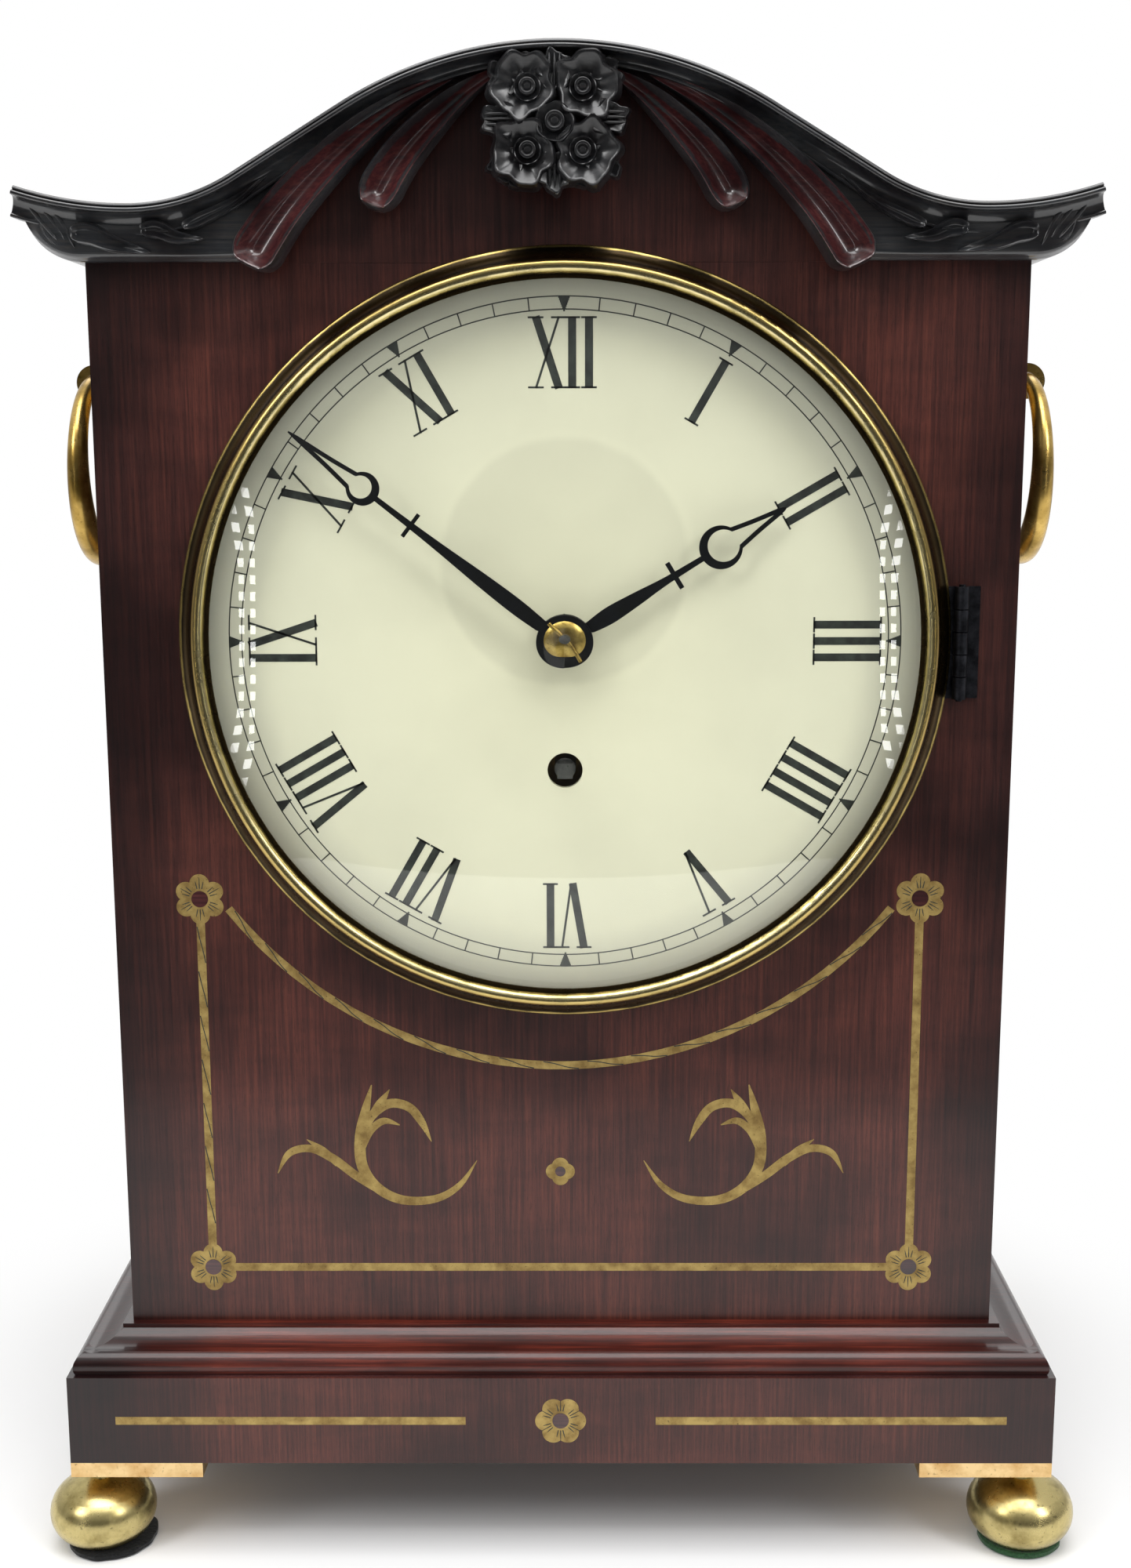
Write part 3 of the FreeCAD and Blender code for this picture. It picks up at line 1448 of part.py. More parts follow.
def make_anchor():
    """Anchor pallets on their arbor, with the crutch behind the back plate."""
    drop = (size.pallet_rise - size.escape_rise).value
    clear = size.escape_radius.value + size.pallet_gap.value
    reach = clear * math.sin(math.radians(45))
    nib_x = reach + 0.3
    nib_z = reach - drop + 0.6
    points = [
        (3.2, 2.4), (nib_x + 1.2, nib_z + 9.0), (nib_x + 5.6, nib_z + 1.4),
        (nib_x + 3.6, nib_z - 2.2), (nib_x, nib_z), (nib_x - 2.6, nib_z + 5.4), (0.0, -2.4),
    ]
    half = [FreeCAD.Vector(x, 0, z) for x, z in points]
    other = [FreeCAD.Vector(-x, 0, z) for x, z in reversed(points[:-1])]
    outline = half + other + [half[0]]
    thick = size.pallet_thick.value
    y0 = escape_wheel_y.value + size.wheel_thick.value / 2 - thick / 2
    along = FreeCAD.Vector(0, 1, 0)
    arms = Part.Face(Part.makePolygon(outline)).extrude(along * thick)
    arms.translate(FreeCAD.Vector(0, y0, 0))
    start = plate_in_y.value + size.fit_gap.value
    cock_face = back_y.value + 7.0
    end = cock_face - size.fit_gap.value
    bar = Part.makeCylinder(size.arbor_radius.value, end - start,
                            FreeCAD.Vector(0, start, 0), along)
    bar = with_pivots(bar, start, end, size.pivot_radius.value, size.cock_thick.value)
    crutch_thick = size.crutch_thick.value
    crutch_y = back_y.value + 4.0
    long = size.crutch_long.value
    stem = Part.makeBox(3.0, crutch_thick, long, FreeCAD.Vector(-1.5, crutch_y, -long))
    gap = size.rod_radius.value + size.fit_gap.value
    prong_long = (pendulum_y - back_y).value - 4.0 + size.rod_radius.value
    fork = Part.makeBox(2 * gap + 3.0, prong_long, 3.0,
                        FreeCAD.Vector(-gap - 1.5, crutch_y, -long - 3.0))
    slot = Part.makeBox(2 * gap, prong_long, 3.0,
                        FreeCAD.Vector(-gap, crutch_y + crutch_thick, -long - 3.0))
    solid = arms.fuse([bar, stem, fork.cut(slot)])
    finish(coded(solid, "anchor", dial_x, 0, pallet_z), "anchor")


def make_back_cock():
    """Bridge on the back plate that carries the pallet arbor and the pendulum."""
    half = size.cock_wide / 2
    foot_z = pallet_z - 8.0
    head_z = pallet_z + 8.0
    bridge_y = back_y + 7.0
    feet = [box(dial_x + half * side - 3.0, dial_x + half * side + 3.0, back_y, bridge_y,
                foot_z, head_z)
            for side in (-1, 1)]
    bridge = box(dial_x - half - 3.0, dial_x + half + 3.0, bridge_y, bridge_y + size.cock_thick,
                 foot_z, head_z)
    arm = box(dial_x - 4.0, dial_x + 4.0, bridge_y + size.cock_thick, pendulum_y + 4.0,
              pallet_z + 1.7, head_z)
    hole = rod("y", dial_x, bridge_y, pallet_z, size.pivot_radius + size.run_gap, size.cock_thick)
    finish(cut(join(*feet, bridge, arm), hole), "back_cock")


def make_pendulum():
    """Half-second pendulum: spring, rod, lenticular bob and rating nut."""
    spring_foot = pallet_z - 10.0
    thin = size.spring_thick / 2
    strip = box(dial_x - thin, dial_x + thin, pendulum_y - 2.5, pendulum_y + 2.5,
                spring_foot, pallet_z + 1.4)
    finish(strip, "suspension_spring")
    bob_z = pallet_z - size.pendulum_long
    nut_top = bob_z - size.bob_radius - size.fit_gap
    rod_foot = nut_top - size.nut_high - 5.0
    stem = rod("z", dial_x, pendulum_y, rod_foot, size.rod_radius, spring_foot - 4.0 - rod_foot)
    block = box(dial_x - 3.0, dial_x + 3.0, pendulum_y - 3.0, pendulum_y + 3.0,
                spring_foot - 6.0, spring_foot)
    finish(join(stem, block), "pendulum_rod")
    half = size.bob_thick / 2
    rim = 1.0
    radius = size.bob_radius
    rise = half - rim
    lens = (radius * radius + rise * rise) / (rise * 2)
    profile = [
        (-half, 0),
        (half, 0, lens),
        (rim, radius),
        (-rim, radius, lens),
    ]
    bob = turned("YZ_Plane", profile, dial_x, pendulum_y, bob_z)
    bore = rod("z", dial_x, pendulum_y, bob_z - radius - 1.0, size.rod_radius + size.run_gap,
               radius * 2 + 2.0)
    finish(cut(bob, bore), "pendulum_bob")
    nut = turned("XZ_Plane", [
        (size.rod_radius + size.run_gap, nut_top - size.nut_high),
        (size.nut_radius - 1.0, nut_top - size.nut_high),
        (size.nut_radius, nut_top - size.nut_high + 1.0),
        (size.nut_radius, nut_top - 0.8),
        (size.nut_radius - 0.8, nut_top),
        (size.rod_radius + size.run_gap, nut_top),
    ], dial_x, pendulum_y, 0)
    finish(nut, "rating_nut")


# ---------------------------------------------------------------- side frets and handles

def fret_solid():
    """Fish-scale fret in the arched window: rows of scales cut through a plate."""
    half = size.window_wide.value / 2 - size.fit_gap.value
    foot = size.fit_gap.value
    spring = size.window_high.value
    radius = size.arch_radius.value - size.fit_gap.value
    centre = spring - math.sqrt(radius ** 2 - half ** 2)
    V = FreeCAD.Vector
    crown = Part.Arc(V(0, half, spring), V(0, 0, centre + radius), V(0, -half, spring)).toShape()
    sides = [(V(0, -half, spring), V(0, -half, foot)), (V(0, -half, foot), V(0, half, foot)),
             (V(0, half, foot), V(0, half, spring))]
    edges = [Part.makeLine(*ends) for ends in sides]
    plate = Part.Face(Part.Wire([crown] + edges)).extrude(V(size.fret_thick.value, 0, 0))
    pitch = size.scale_pitch.value
    hole = size.scale_hole.value
    scales = []
    rows = int((spring + 16.0 - foot) / pitch)
    for row in range(rows):
        shift = pitch / 2 if row % 2 else 0.0
        for column in range(-2, 3):
            y = column * pitch + shift
            z = foot + pitch * (row + 0.75)
            inside = math.hypot(y, max(z + hole / 2 - centre, 0.0)) < radius - hole * 0.75
            if abs(y) > half - hole * 0.75 or not inside:
                continue
            corners = [(-0.5, 0.35), (-0.4, -0.25), (0.0, -0.5), (0.4, -0.25), (0.5, 0.35)]
            points = [V(0, y + hole * across, z + hole * up) for across, up in corners]
            points.append(points[0])
            scale = Part.Face(Part.makePolygon(points))
            scales.append(scale.extrude(V(size.fret_thick.value, 0, 0)))
    return plate.cut(scales)


def make_frets():
    foot = case_z + size.window_rise
    frets = []
    silks = []
    for right in (-1, 1):
        face = half_wide - size.fret_inset - size.fret_thick
        x0 = face if right > 0 else -face - size.fret_thick
        frets.append(coded(fret_solid(), "Fret", x0, 0, foot))
        behind = face - size.fit_gap - size.silk_thick
        x0 = behind if right > 0 else -behind - size.silk_thick
        silks.append(slab("YZ_Plane", x0, x0 + size.silk_thick, [window_outline(size.fit_gap)]))
    finish(group(*frets), "side_frets")
    finish(group(*silks), "fret_silk")


def make_handles():
    """Drop-ring handles: a turned boss on each side wall and a ring that thickens downwards."""
    pivot_z = eaves_z - size.handle_drop
    bosses = []
    for right, name in ((-1, "handle_ring_left"), (1, "handle_ring_right")):
        pivot_x = (half_wide + size.handle_out) * right
        wall_x = half_wide * right
        plate_x = wall_x if right > 0 else wall_x - size.boss_thick
        plate = rod("x", plate_x, 0, pivot_z, size.boss_radius, size.boss_thick)
        stem_long = size.handle_out - size.lug_radius * 0.75
        stem_x = wall_x if right > 0 else wall_x - stem_long
        stem = rod("x", stem_x, 0, pivot_z, size.lug_radius * 0.6, stem_long)
        eye = rod("y", pivot_x, -size.lug_wide / 2, pivot_z, size.lug_radius, size.lug_wide)
        bore = rod("y", pivot_x, -size.lug_wide / 2, pivot_z, size.ring_top + size.fit_gap,
                   size.lug_wide)
        bosses.append(cut(join(plate, stem, eye), bore))
        ring = coded(ring_solid(), name, pivot_x, 0, pivot_z - size.ring_radius)
        finish(ring, name)
    finish(group(*bosses), "handle_bosses")


def ring_solid():
    """Closed ring in the YZ plane, as two lofted halves from a thin top to a thick foot."""
    radius = size.ring_radius.value
    top = size.ring_top.value
    foot = size.ring_foot.value
    V = FreeCAD.Vector
    halves = []
    for side in (-1, 1):
        sections = []
        for step in range(7):
            angle = math.pi * step / 6
            out = V(0, side * math.sin(angle), math.cos(angle))
            along = V(0, side * math.cos(angle), -math.sin(angle))
            section = top + (foot - top) * (1 - math.cos(angle)) / 2
            sections.append(Part.Wire(Part.makeCircle(section, out * radius, along)))
        halves.append(Part.makeLoft(sections, True, False))
    return halves[0].fuse(halves[1])


# ---------------------------------------------------------------- rear door

def make_rear_door():
    gap = size.fit_gap
    door_x = inner_x - gap
    low = case_z + gap
    high = case_z + size.door_high
    rail = size.rail_wide
    leaf = box(-door_x, door_x, inner_y, half_deep, low, high)
    light_x = door_x - rail
    light = box(-light_x, light_x, inner_y, half_deep, low + rail, high - rail)
    rebate = size.door_rebate
    seat_back = inner_y + size.door_glass_thick + 2.0
    step = box(-light_x - rebate, light_x + rebate, inner_y, seat_back,
               low + rail - rebate, high - rail + rebate)
    latch_z = case_z + size.latch_rise
    latch_x = -inner_x + size.latch_inset
    hole = rod("y", latch_x, inner_y, latch_z, size.latch_radius + size.run_gap, size.wall_thick)
    finish(cut(leaf, light, step, hole), "rear_door_frame")
    pane = box(-light_x - rebate + gap, light_x + rebate - gap,
               seat_back - size.door_glass_thick, seat_back,
               low + rail - rebate + gap, high - rail + rebate - gap)
    finish(pane, "rear_door_glass")


def make_rear_hinges():
    """Two brass hinges: a leaf on the side wall, a leaf on the door, and a pin."""
    pin_x = inner_x - size.fit_gap / 2
    pin_y = half_deep + size.door_knuckle_radius + 0.2
    third = size.door_knuckle_high / 3
    gap = size.fit_gap / 2
    radius = size.door_knuckle_radius
    pin_radius = radius / 2
    fixed, moving = [], []
    middle = case_z + size.door_high / 2
    for place_z in (middle - size.door_hinge_place, middle + size.door_hinge_place):
        low = place_z - size.door_knuckle_high / 2
        wall_leaf = box(pin_x, pin_x + size.door_leaf_wide, half_deep,
                        half_deep + size.door_leaf_thick, low, low + size.door_knuckle_high)
        outer = [rod("z", pin_x, pin_y, low, radius, third - gap),
                 rod("z", pin_x, pin_y, low + third * 2 + gap, radius, third - gap)]
        room = box(pin_x - radius - gap, pin_x + radius + gap, half_deep, pin_y + radius + gap,
                   low + third - gap, low + third * 2 + gap)
        pin = rod("z", pin_x, pin_y, low, pin_radius, size.door_knuckle_high)
        fixed.append(join(cut(join(wall_leaf, *outer), room), pin))
        door_leaf = box(pin_x - size.door_leaf_wide, pin_x, half_deep,
                        half_deep + size.door_leaf_thick, low, low + size.door_knuckle_high)
        knuckle = rod("z", pin_x, pin_y, low + third, radius, third)
        rooms = [box(pin_x - radius - gap, pin_x + radius + gap, half_deep, pin_y + radius + gap,
                     low + third * start - gap, low + third * (start + 1) + gap)
                 for start in (0, 2)]
        bore = rod("z", pin_x, pin_y, low, pin_radius + size.run_gap, size.door_knuckle_high)
        moving.append(cut(join(door_leaf, knuckle), *rooms, bore))
    finish(group(*fixed), "door_hinge_wall_leaves")
    finish(group(*moving), "door_hinge_leaves")


def make_rear_latch():
    """Turned knob, its shaft through the door and the tongue inside, at rest undone."""
    latch_x = -inner_x + size.latch_inset
    latch_z = case_z + size.latch_rise
    tongue_back = inner_y - 1.0
    tongue_front = tongue_back - size.tongue_thick
    half = size.tongue_half
    knob = turned("YZ_Plane", [
        (half_deep + size.fit_gap, 0),
        (half_deep + size.knob_out, 0),
        (half_deep + size.knob_out, size.knob_radius * 0.55, 3.0),
        (half_deep + size.knob_out - 3.0, size.knob_radius),
        (half_deep + size.knob_out - 5.0, size.knob_radius, 3.5),
        (half_deep + 3.0, size.knob_radius * 0.5),
        (half_deep + size.fit_gap, size.knob_radius * 0.75),
    ], latch_x, 0, latch_z)
    shaft = rod("y", latch_x, tongue_front, latch_z, size.latch_radius,
                half_deep + size.fit_gap - tongue_front + 1.0)
    tongue = box(latch_x - half, latch_x + half, tongue_front, tongue_back,
                 latch_z - half, latch_z + size.tongue_long)
    finish(join(knob, shaft, tongue), "rear_latch")


# ---------------------------------------------------------------- the whole clock

def build_clock():
    make_foot_pads()
    make_ball_feet()
    make_corner_plates()
    make_plinth()
    make_base_moulding()
    make_front_board()
    make_side_panels()
    make_roof()
    make_rear_header()
    make_pediment()
    make_patera()
    make_inlay()
    make_dial()
    make_bezel()
    make_bezel_hinge()
    make_glass()
    make_hands()
    make_hand_collet()
    make_plates()
    make_seat_board()
    make_great_wheel()
    make_centre_arbor()
    make_centre_wheel()
    make_third_wheel()
    make_escape_wheel()
    make_motion_work()
    make_barrel()
    make_fusee()
    make_winding_arbor()
    make_fusee_line()
    make_anchor()
    make_back_cock()
    make_pendulum()
    make_frets()
    make_handles()
    make_rear_door()
    make_rear_hinges()
    make_rear_latch()


def check_and_write():
    doc.recompute()
    failed = [thing.Label for thing in doc.Objects
              if "Invalid" in thing.State or "Error" in thing.State]
    for thing in finished:
        if thing.Shape.isNull() or not thing.Shape.isValid() or not thing.Shape.Solids:
            failed.append(thing.Label + " (shape)")
    if failed:
        raise RuntimeError("failed: " + ", ".join(failed))
    os.makedirs("parts", exist_ok=True)
    for thing in finished:
        thing.Shape.exportStep(f"parts/{thing.Label}.step")
    print(len(finished), "sub-parts written")


build_clock()
check_and_write()
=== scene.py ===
import math
import random

import bpy
from mathutils import Matrix, Vector


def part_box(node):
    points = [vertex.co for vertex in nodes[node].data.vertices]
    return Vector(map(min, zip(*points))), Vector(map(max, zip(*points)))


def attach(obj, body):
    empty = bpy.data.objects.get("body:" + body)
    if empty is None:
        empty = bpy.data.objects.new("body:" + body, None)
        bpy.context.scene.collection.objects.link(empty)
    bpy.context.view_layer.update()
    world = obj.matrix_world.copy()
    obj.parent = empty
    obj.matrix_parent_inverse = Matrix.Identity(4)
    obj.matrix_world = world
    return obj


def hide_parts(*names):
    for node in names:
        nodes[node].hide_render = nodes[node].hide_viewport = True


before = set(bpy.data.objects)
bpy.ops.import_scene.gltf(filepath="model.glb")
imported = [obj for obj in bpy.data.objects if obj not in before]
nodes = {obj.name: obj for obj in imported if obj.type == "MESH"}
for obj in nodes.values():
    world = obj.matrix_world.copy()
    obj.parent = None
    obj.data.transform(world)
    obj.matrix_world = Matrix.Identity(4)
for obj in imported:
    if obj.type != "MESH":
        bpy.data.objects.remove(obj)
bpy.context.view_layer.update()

mm = 0.001
random.seed(11)

# Faces and centres of the case, in millimetres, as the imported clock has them
case = {
    "front": -80.0,
    "plinthFront": -96.0,
    "eaves": 365.4,
    "dialX": 1.6,
    "dialZ": 264.6,
    "dialFace": -76.0,
}
roofLine = {
    "crestRadius": 108.0,
    "crestCentre": 311.2,
    "sweepRadius": 52.0,
    "sweepPlace": 110.7,
    "sweepCentre": 431.3,
    "wingRadius": 95.0,
    "wingTip": 139.6,
    "lean": math.atan2(0.5161, 0.8565),     # of the straight slope between crest and sweep
    "crestEnd": 0.42,                       # shares of each half where crest, slope and sweep end
    "slopeEnd": 0.60,
    "sweepEnd": 0.80,
}


def deselectAll():
    if bpy.context.object and bpy.context.object.mode != "OBJECT":
        bpy.ops.object.mode_set(mode="OBJECT")
    bpy.ops.object.select_all(action="DESELECT")


def useOnly(piece):
    deselectAll()
    piece.select_set(True)
    bpy.context.view_layer.objects.active = piece


def takeNew(name):
    piece = bpy.context.view_layer.objects.active
    piece.name = name
    piece.data.name = name
    return piece


def closeMesh(piece):
    distance = 0.004 * mm
    useOnly(piece)
    bpy.ops.object.mode_set(mode="EDIT")
    bpy.ops.mesh.select_all(action="SELECT")
    bpy.ops.mesh.remove_doubles(threshold=distance)
    bpy.ops.mesh.dissolve_degenerate(threshold=distance)
    bpy.ops.mesh.normals_make_consistent(inside=False)
    bpy.ops.object.mode_set(mode="OBJECT")


def capEnds(piece):
    useOnly(piece)
    bpy.ops.object.mode_set(mode="EDIT")
    bpy.ops.mesh.select_all(action="SELECT")
    bpy.ops.mesh.fill_holes(sides=0)
    bpy.ops.mesh.select_all(action="SELECT")
    bpy.ops.mesh.normals_make_consistent(inside=False)
    bpy.ops.object.mode_set(mode="OBJECT")


def joinPieces(pieces, name):
    deselectAll()
    for piece in pieces:
        piece.select_set(True)
    bpy.context.view_layer.objects.active = pieces[0]
    if len(pieces) > 1:
        bpy.ops.object.join()
    return takeNew(name)


def dress(piece, material, body="case", instead=(), smooth=35):
    useOnly(piece)
    bpy.ops.object.transform_apply(location=True, rotation=True, scale=True)
    bpy.ops.object.shade_smooth_by_angle(angle=math.radians(smooth))
    piece.data.materials.clear()
    piece.data.materials.append(material)
    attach(piece, body)
    if instead:
        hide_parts(*instead)
    deselectAll()
    return piece


def shapedGrid(name, columns, rows, placeOf):
    # a grid primitive whose points are moved to placeOf(u, v), in millimetres
    deselectAll()
    bpy.ops.mesh.primitive_grid_add(x_subdivisions=columns, y_subdivisions=rows, size=1)
    piece = takeNew(name)
    for point in piece.data.vertices:
        spot = placeOf(point.co.x + 0.5, point.co.y + 0.5)
        point.co = Vector(spot) * mm
    closeMesh(piece)
    return piece


def smoothStep(low, high, value):
    share = min(max((value - low) / (high - low), 0.0), 1.0)
    return share * share * (3 - 2 * share)


def alongPoints(points, share):
    # smooth line through a few points, each a tuple of numbers
    spans = len(points) - 1
    at = min(share * spans, spans - 1e-6)
    number = int(at)
    t = at - number
    before = points[max(number - 1, 0)]
    start, end = points[number], points[number + 1]
    after = points[min(number + 2, spans)]
    line = []
    for a, b, c, d in zip(before, start, end, after):
        line.append(0.5 * (2 * b + (c - a) * t + (2 * a - 5 * b + 4 * c - d) * t * t
                           + (3 * b - a - 3 * c + d) * t * t * t))
    return line


def runAt(points, share, step=0.01):
    # a spot on that line, and the way the line runs there
    ahead = alongPoints(points, min(share + step, 1.0))
    behind = alongPoints(points, max(share - step, 0.0))
    return alongPoints(points, share), Vector((ahead[0] - behind[0], ahead[1] - behind[1])).normalized()


def hexColour(code):
    channels = [int(code[at:at + 2], 16) / 255 for at in (1, 3, 5)]
    return [c / 12.92 if c <= 0.04045 else ((c + 0.055) / 1.055) ** 2.4 for c in channels] + [1.0]


def plug(tree, node, links):
    # each input takes a socket, or the first output of a node
    for name, source in links.items():
        socket = source.outputs[0] if isinstance(source, bpy.types.Node) else source
        tree.links.new(socket, node.inputs[name])


def addNode(tree, kind, values=None, links=None):
    node = tree.nodes.new("ShaderNode" + kind)
    for name, value in (values or {}).items():
        if name == "stops":
            ramp = node.color_ramp.elements
            for number, (at, colour) in enumerate(value):
                stop = ramp[number] if number < 2 else ramp.new(at)
                stop.position = at
                stop.color = hexColour(colour) if isinstance(colour, str) else [colour] * 3 + [1]
        elif isinstance(name, int) or name in node.inputs:
            node.inputs[name].default_value = value
        else:
            setattr(node, name, value)
    plug(tree, node, links or {})
    return node


def startMaterial(name, settings):
    material = bpy.data.materials.new(name)
    material.use_nodes = True
    tree = material.node_tree
    shader = tree.nodes["Principled BSDF"]
    for socket, value in settings.items():
        shader.inputs[socket].default_value = value
    place = addNode(tree, "TexCoord").outputs["Object"]
    return material, tree, shader, place


def grainMapping(tree, place, grain, along, across):
    # grain is the axis that the fibres follow; along and across are in millimetres
    scale = [1000 / across] * 3
    scale["xyz".index(grain)] = 1000 / along
    return addNode(tree, "Mapping", {"Scale": scale}, {"Vector": place})


def paintedEdgeShade(tree, place, look):
    # painted shade that darkens a face towards its outer edges and towards its top
    axes = addNode(tree, "SeparateXYZ", None, {"Vector": place})
    side = addNode(tree, "Math", {"operation": "ABSOLUTE"}, {0: axes.outputs["X"]})
    sideShare = addNode(tree, "MapRange", {"From Min": look["shadeSide"] * mm,
                                           "From Max": (look["shadeSide"] + look["fadeSide"]) * mm},
                        {"Value": side})
    topShare = addNode(tree, "MapRange", {"From Min": look["shadeTop"] * mm,
                                          "From Max": (look["shadeTop"] + look["fadeTop"]) * mm},
                       {"Value": axes.outputs["Z"]})
    paintedShade = addNode(tree, "Math", {"operation": "MAXIMUM"}, {0: sideShare, 1: topShare})
    return addNode(tree, "ValToRGB", {"stops": [(0.0, "#ffffff"), (1.0, look["paintedShade"])]},
                   {"Fac": paintedShade})


def makeWood(name, look):
    # French polished mahogany: long red-brown fibres, dark open pores, cloudy figure, soft gloss
    material, tree, shader, place = startMaterial(name, {
        "Specular IOR Level": 0.35, "Coat Weight": look["coat"], "Coat Roughness": look["coatRough"],
        "IOR": 1.5,
    })
    grain = look["grain"]
    fibres = addNode(tree, "TexNoise", {"Scale": 1, "Detail": 6, "Roughness": 0.6},
                     {"Vector": grainMapping(tree, place, grain, look["fibreLong"], look["fibreWide"])})
    pores = addNode(tree, "TexNoise", {"Scale": 1, "Detail": 3, "Roughness": 0.7},
                    {"Vector": grainMapping(tree, place, grain, look["poreLong"], look["poreWide"])})
    cloud = addNode(tree, "TexNoise", {"Scale": 1000 / look["cloud"], "Detail": 3, "Roughness": 0.5},
                    {"Vector": place})
    across = "x" if grain == "z" else "z"
    figure = addNode(tree, "TexNoise", {"Scale": 1, "Detail": 4, "Roughness": 0.55},
                     {"Vector": grainMapping(tree, place, across, look["figureWide"], look["figureHigh"])})
    base = addNode(tree, "ValToRGB", {"stops": [(0.30, look["dark"]), (0.66, look["light"]),
                                                (0.48, look["middle"])]},
                   {"Fac": fibres})
    cloudy = addNode(tree, "ValToRGB", {"stops": [(0.34, look["haze"]), (0.60, "#ffffff")]},
                     {"Fac": cloud})
    figured = addNode(tree, "ValToRGB", {"stops": [(0.36, look["figure"]), (0.56, 1.0)]},
                      {"Fac": figure})
    poreMask = addNode(tree, "ValToRGB", {"stops": [(0.34, 0.45), (0.46, 1.0)]}, {"Fac": pores})
    first = addNode(tree, "Mix", {"data_type": "RGBA", "blend_type": "MULTIPLY", 0: 1.0},
                    {6: base, 7: cloudy})
    second = addNode(tree, "Mix", {"data_type": "RGBA", "blend_type": "MULTIPLY", 0: 1.0},
                     {6: first.outputs[2], 7: figured})
    third = addNode(tree, "Mix", {"data_type": "RGBA", "blend_type": "MULTIPLY", 0: look["pores"]},
                    {6: second.outputs[2], 7: poreMask})
    # painted shade towards the outer edges and the top of each face
    edgeShaded = paintedEdgeShade(tree, place, look)
    fourth = addNode(tree, "Mix", {"data_type": "RGBA", "blend_type": "MULTIPLY", 0: 1.0},
                     {6: third.outputs[2], 7: edgeShaded})
    rough = addNode(tree, "MapRange", {"To Min": look["rough"] - 0.06, "To Max": look["rough"] + 0.10},
                    {"Value": cloud})
    bump = addNode(tree, "Bump", {"Strength": 0.25, "Distance": 0.05 * mm}, {"Height": poreMask})
    plug(tree, shader, {"Base Color": fourth.outputs[2], "Roughness": rough, "Normal": bump})
    return material


def makeMetal(name, look):
    # worn metal: a clean colour, a duller one in drifts, faint wipe marks in the gloss
    material, tree, shader, place = startMaterial(name, {"Metallic": look.get("metallic", 1.0)})
    drift = addNode(tree, "TexNoise", {"Scale": 1000 / look["drift"], "Detail": 5, "Roughness": 0.6},
                    {"Vector": place})
    specks = addNode(tree, "TexNoise", {"Scale": 1000 / look["speck"], "Detail": 2, "Roughness": 0.5},
                     {"Vector": place})
    base = addNode(tree, "ValToRGB", {"stops": [(look.get("low", 0.35), look["dull"]),
                                                (look.get("high", 0.62), look["clean"])]},
                   {"Fac": drift})
    spot = addNode(tree, "ValToRGB", {"stops": [(0.27, look.get("spot", 0.35)), (0.36, 1.0)]},
                   {"Fac": specks})
    worn = addNode(tree, "Mix", {"data_type": "RGBA", "blend_type": "MULTIPLY", 0: 1.0},
                   {6: base, 7: spot})
    rough = addNode(tree, "MapRange", {"To Min": look["rough"] + 0.12, "To Max": look["rough"]},
                    {"Value": drift})
    bump = addNode(tree, "Bump", {"Strength": look.get("bump", 0.12), "Distance": 0.03 * mm},
                   {"Height": specks})
    plug(tree, shader, {"Base Color": worn.outputs[2], "Roughness": rough, "Normal": bump})
    return material


frontLook = {
    "dark": "#381a16", "middle": "#4c251f", "light": "#5f3025", "grain": "z", "fibreLong": 30.0,
    "fibreWide": 0.75, "poreLong": 3.0, "poreWide": 0.26, "cloud": 55.0, "figureWide": 30.0,
    "figureHigh": 9.0, "figure": 0.80, "pores": 0.6, "rough": 0.38, "coat": 0.30, "coatRough": 0.14,
    # painted shade: its tint, and where it starts and fades in at the sides and at the top
    "haze": "#a0959b", "paintedShade": "#a29da8", "shadeSide": 96.0, "fadeSide": 30,
    "shadeTop": 345.0, "fadeTop": 45,
}
mouldingLook = dict(frontLook, grain="x", dark="#2c0d0a", middle="#4c1a12", light="#6a2a1c",
                    coat=0.35, coatRough=0.10, figure=0.9, rough=0.34)
plinthLook = dict(frontLook, dark="#2e191b", middle="#3e2224", light="#50302d", figure=0.85)
sideLook = dict(frontLook, figure=0.85)
innerLook = dict(frontLook, dark="#5b3a24", middle="#7a5436", light="#94704a", coat=0.0, rough=0.7,
                 paintedShade="#ffffff")
# the ebonised carving: its greys are lightened into a painted sheen, as on its upward cove
sheenedCarvingLook = dict(frontLook, grain="x", dark="#1d1f22", middle="#2b2d30", light="#3a3735",
                   figure=0.85, coat=1.0, coatRough=0.12, cloud=16.0, rough=0.30, pores=0.4,
                   paintedShade="#ffffff")
# the same ebonised finish without the painted sheen, darker
rosetteLook = dict(sheenedCarvingLook, dark="#131416", middle="#1f2022", light="#2c2a2a", coat=0.7,
                   coatRough=0.2)
scoopLook = dict(sheenedCarvingLook, dark="#2a1113", middle="#40191c", light="#532a27", coat=1.0,
                 coatRough=0.10)

frontMahogany = makeWood("frenchPolishedMahogany", frontLook)
mouldingMahogany = makeWood("polishedMouldingMahogany", mouldingLook)
plinthMahogany = makeWood("darkenedPlinthMahogany", plinthLook)
sideMahogany = makeWood("sideMahogany", sideLook)
innerPine = makeWood("unpolishedInnerWood", innerLook)
carvedMahogany = makeWood("ebonisedCarving", sheenedCarvingLook)
scoopMahogany = makeWood("rubbedCarving", scoopLook)
rosetteMahogany = makeWood("ebonisedRosette", rosetteLook)

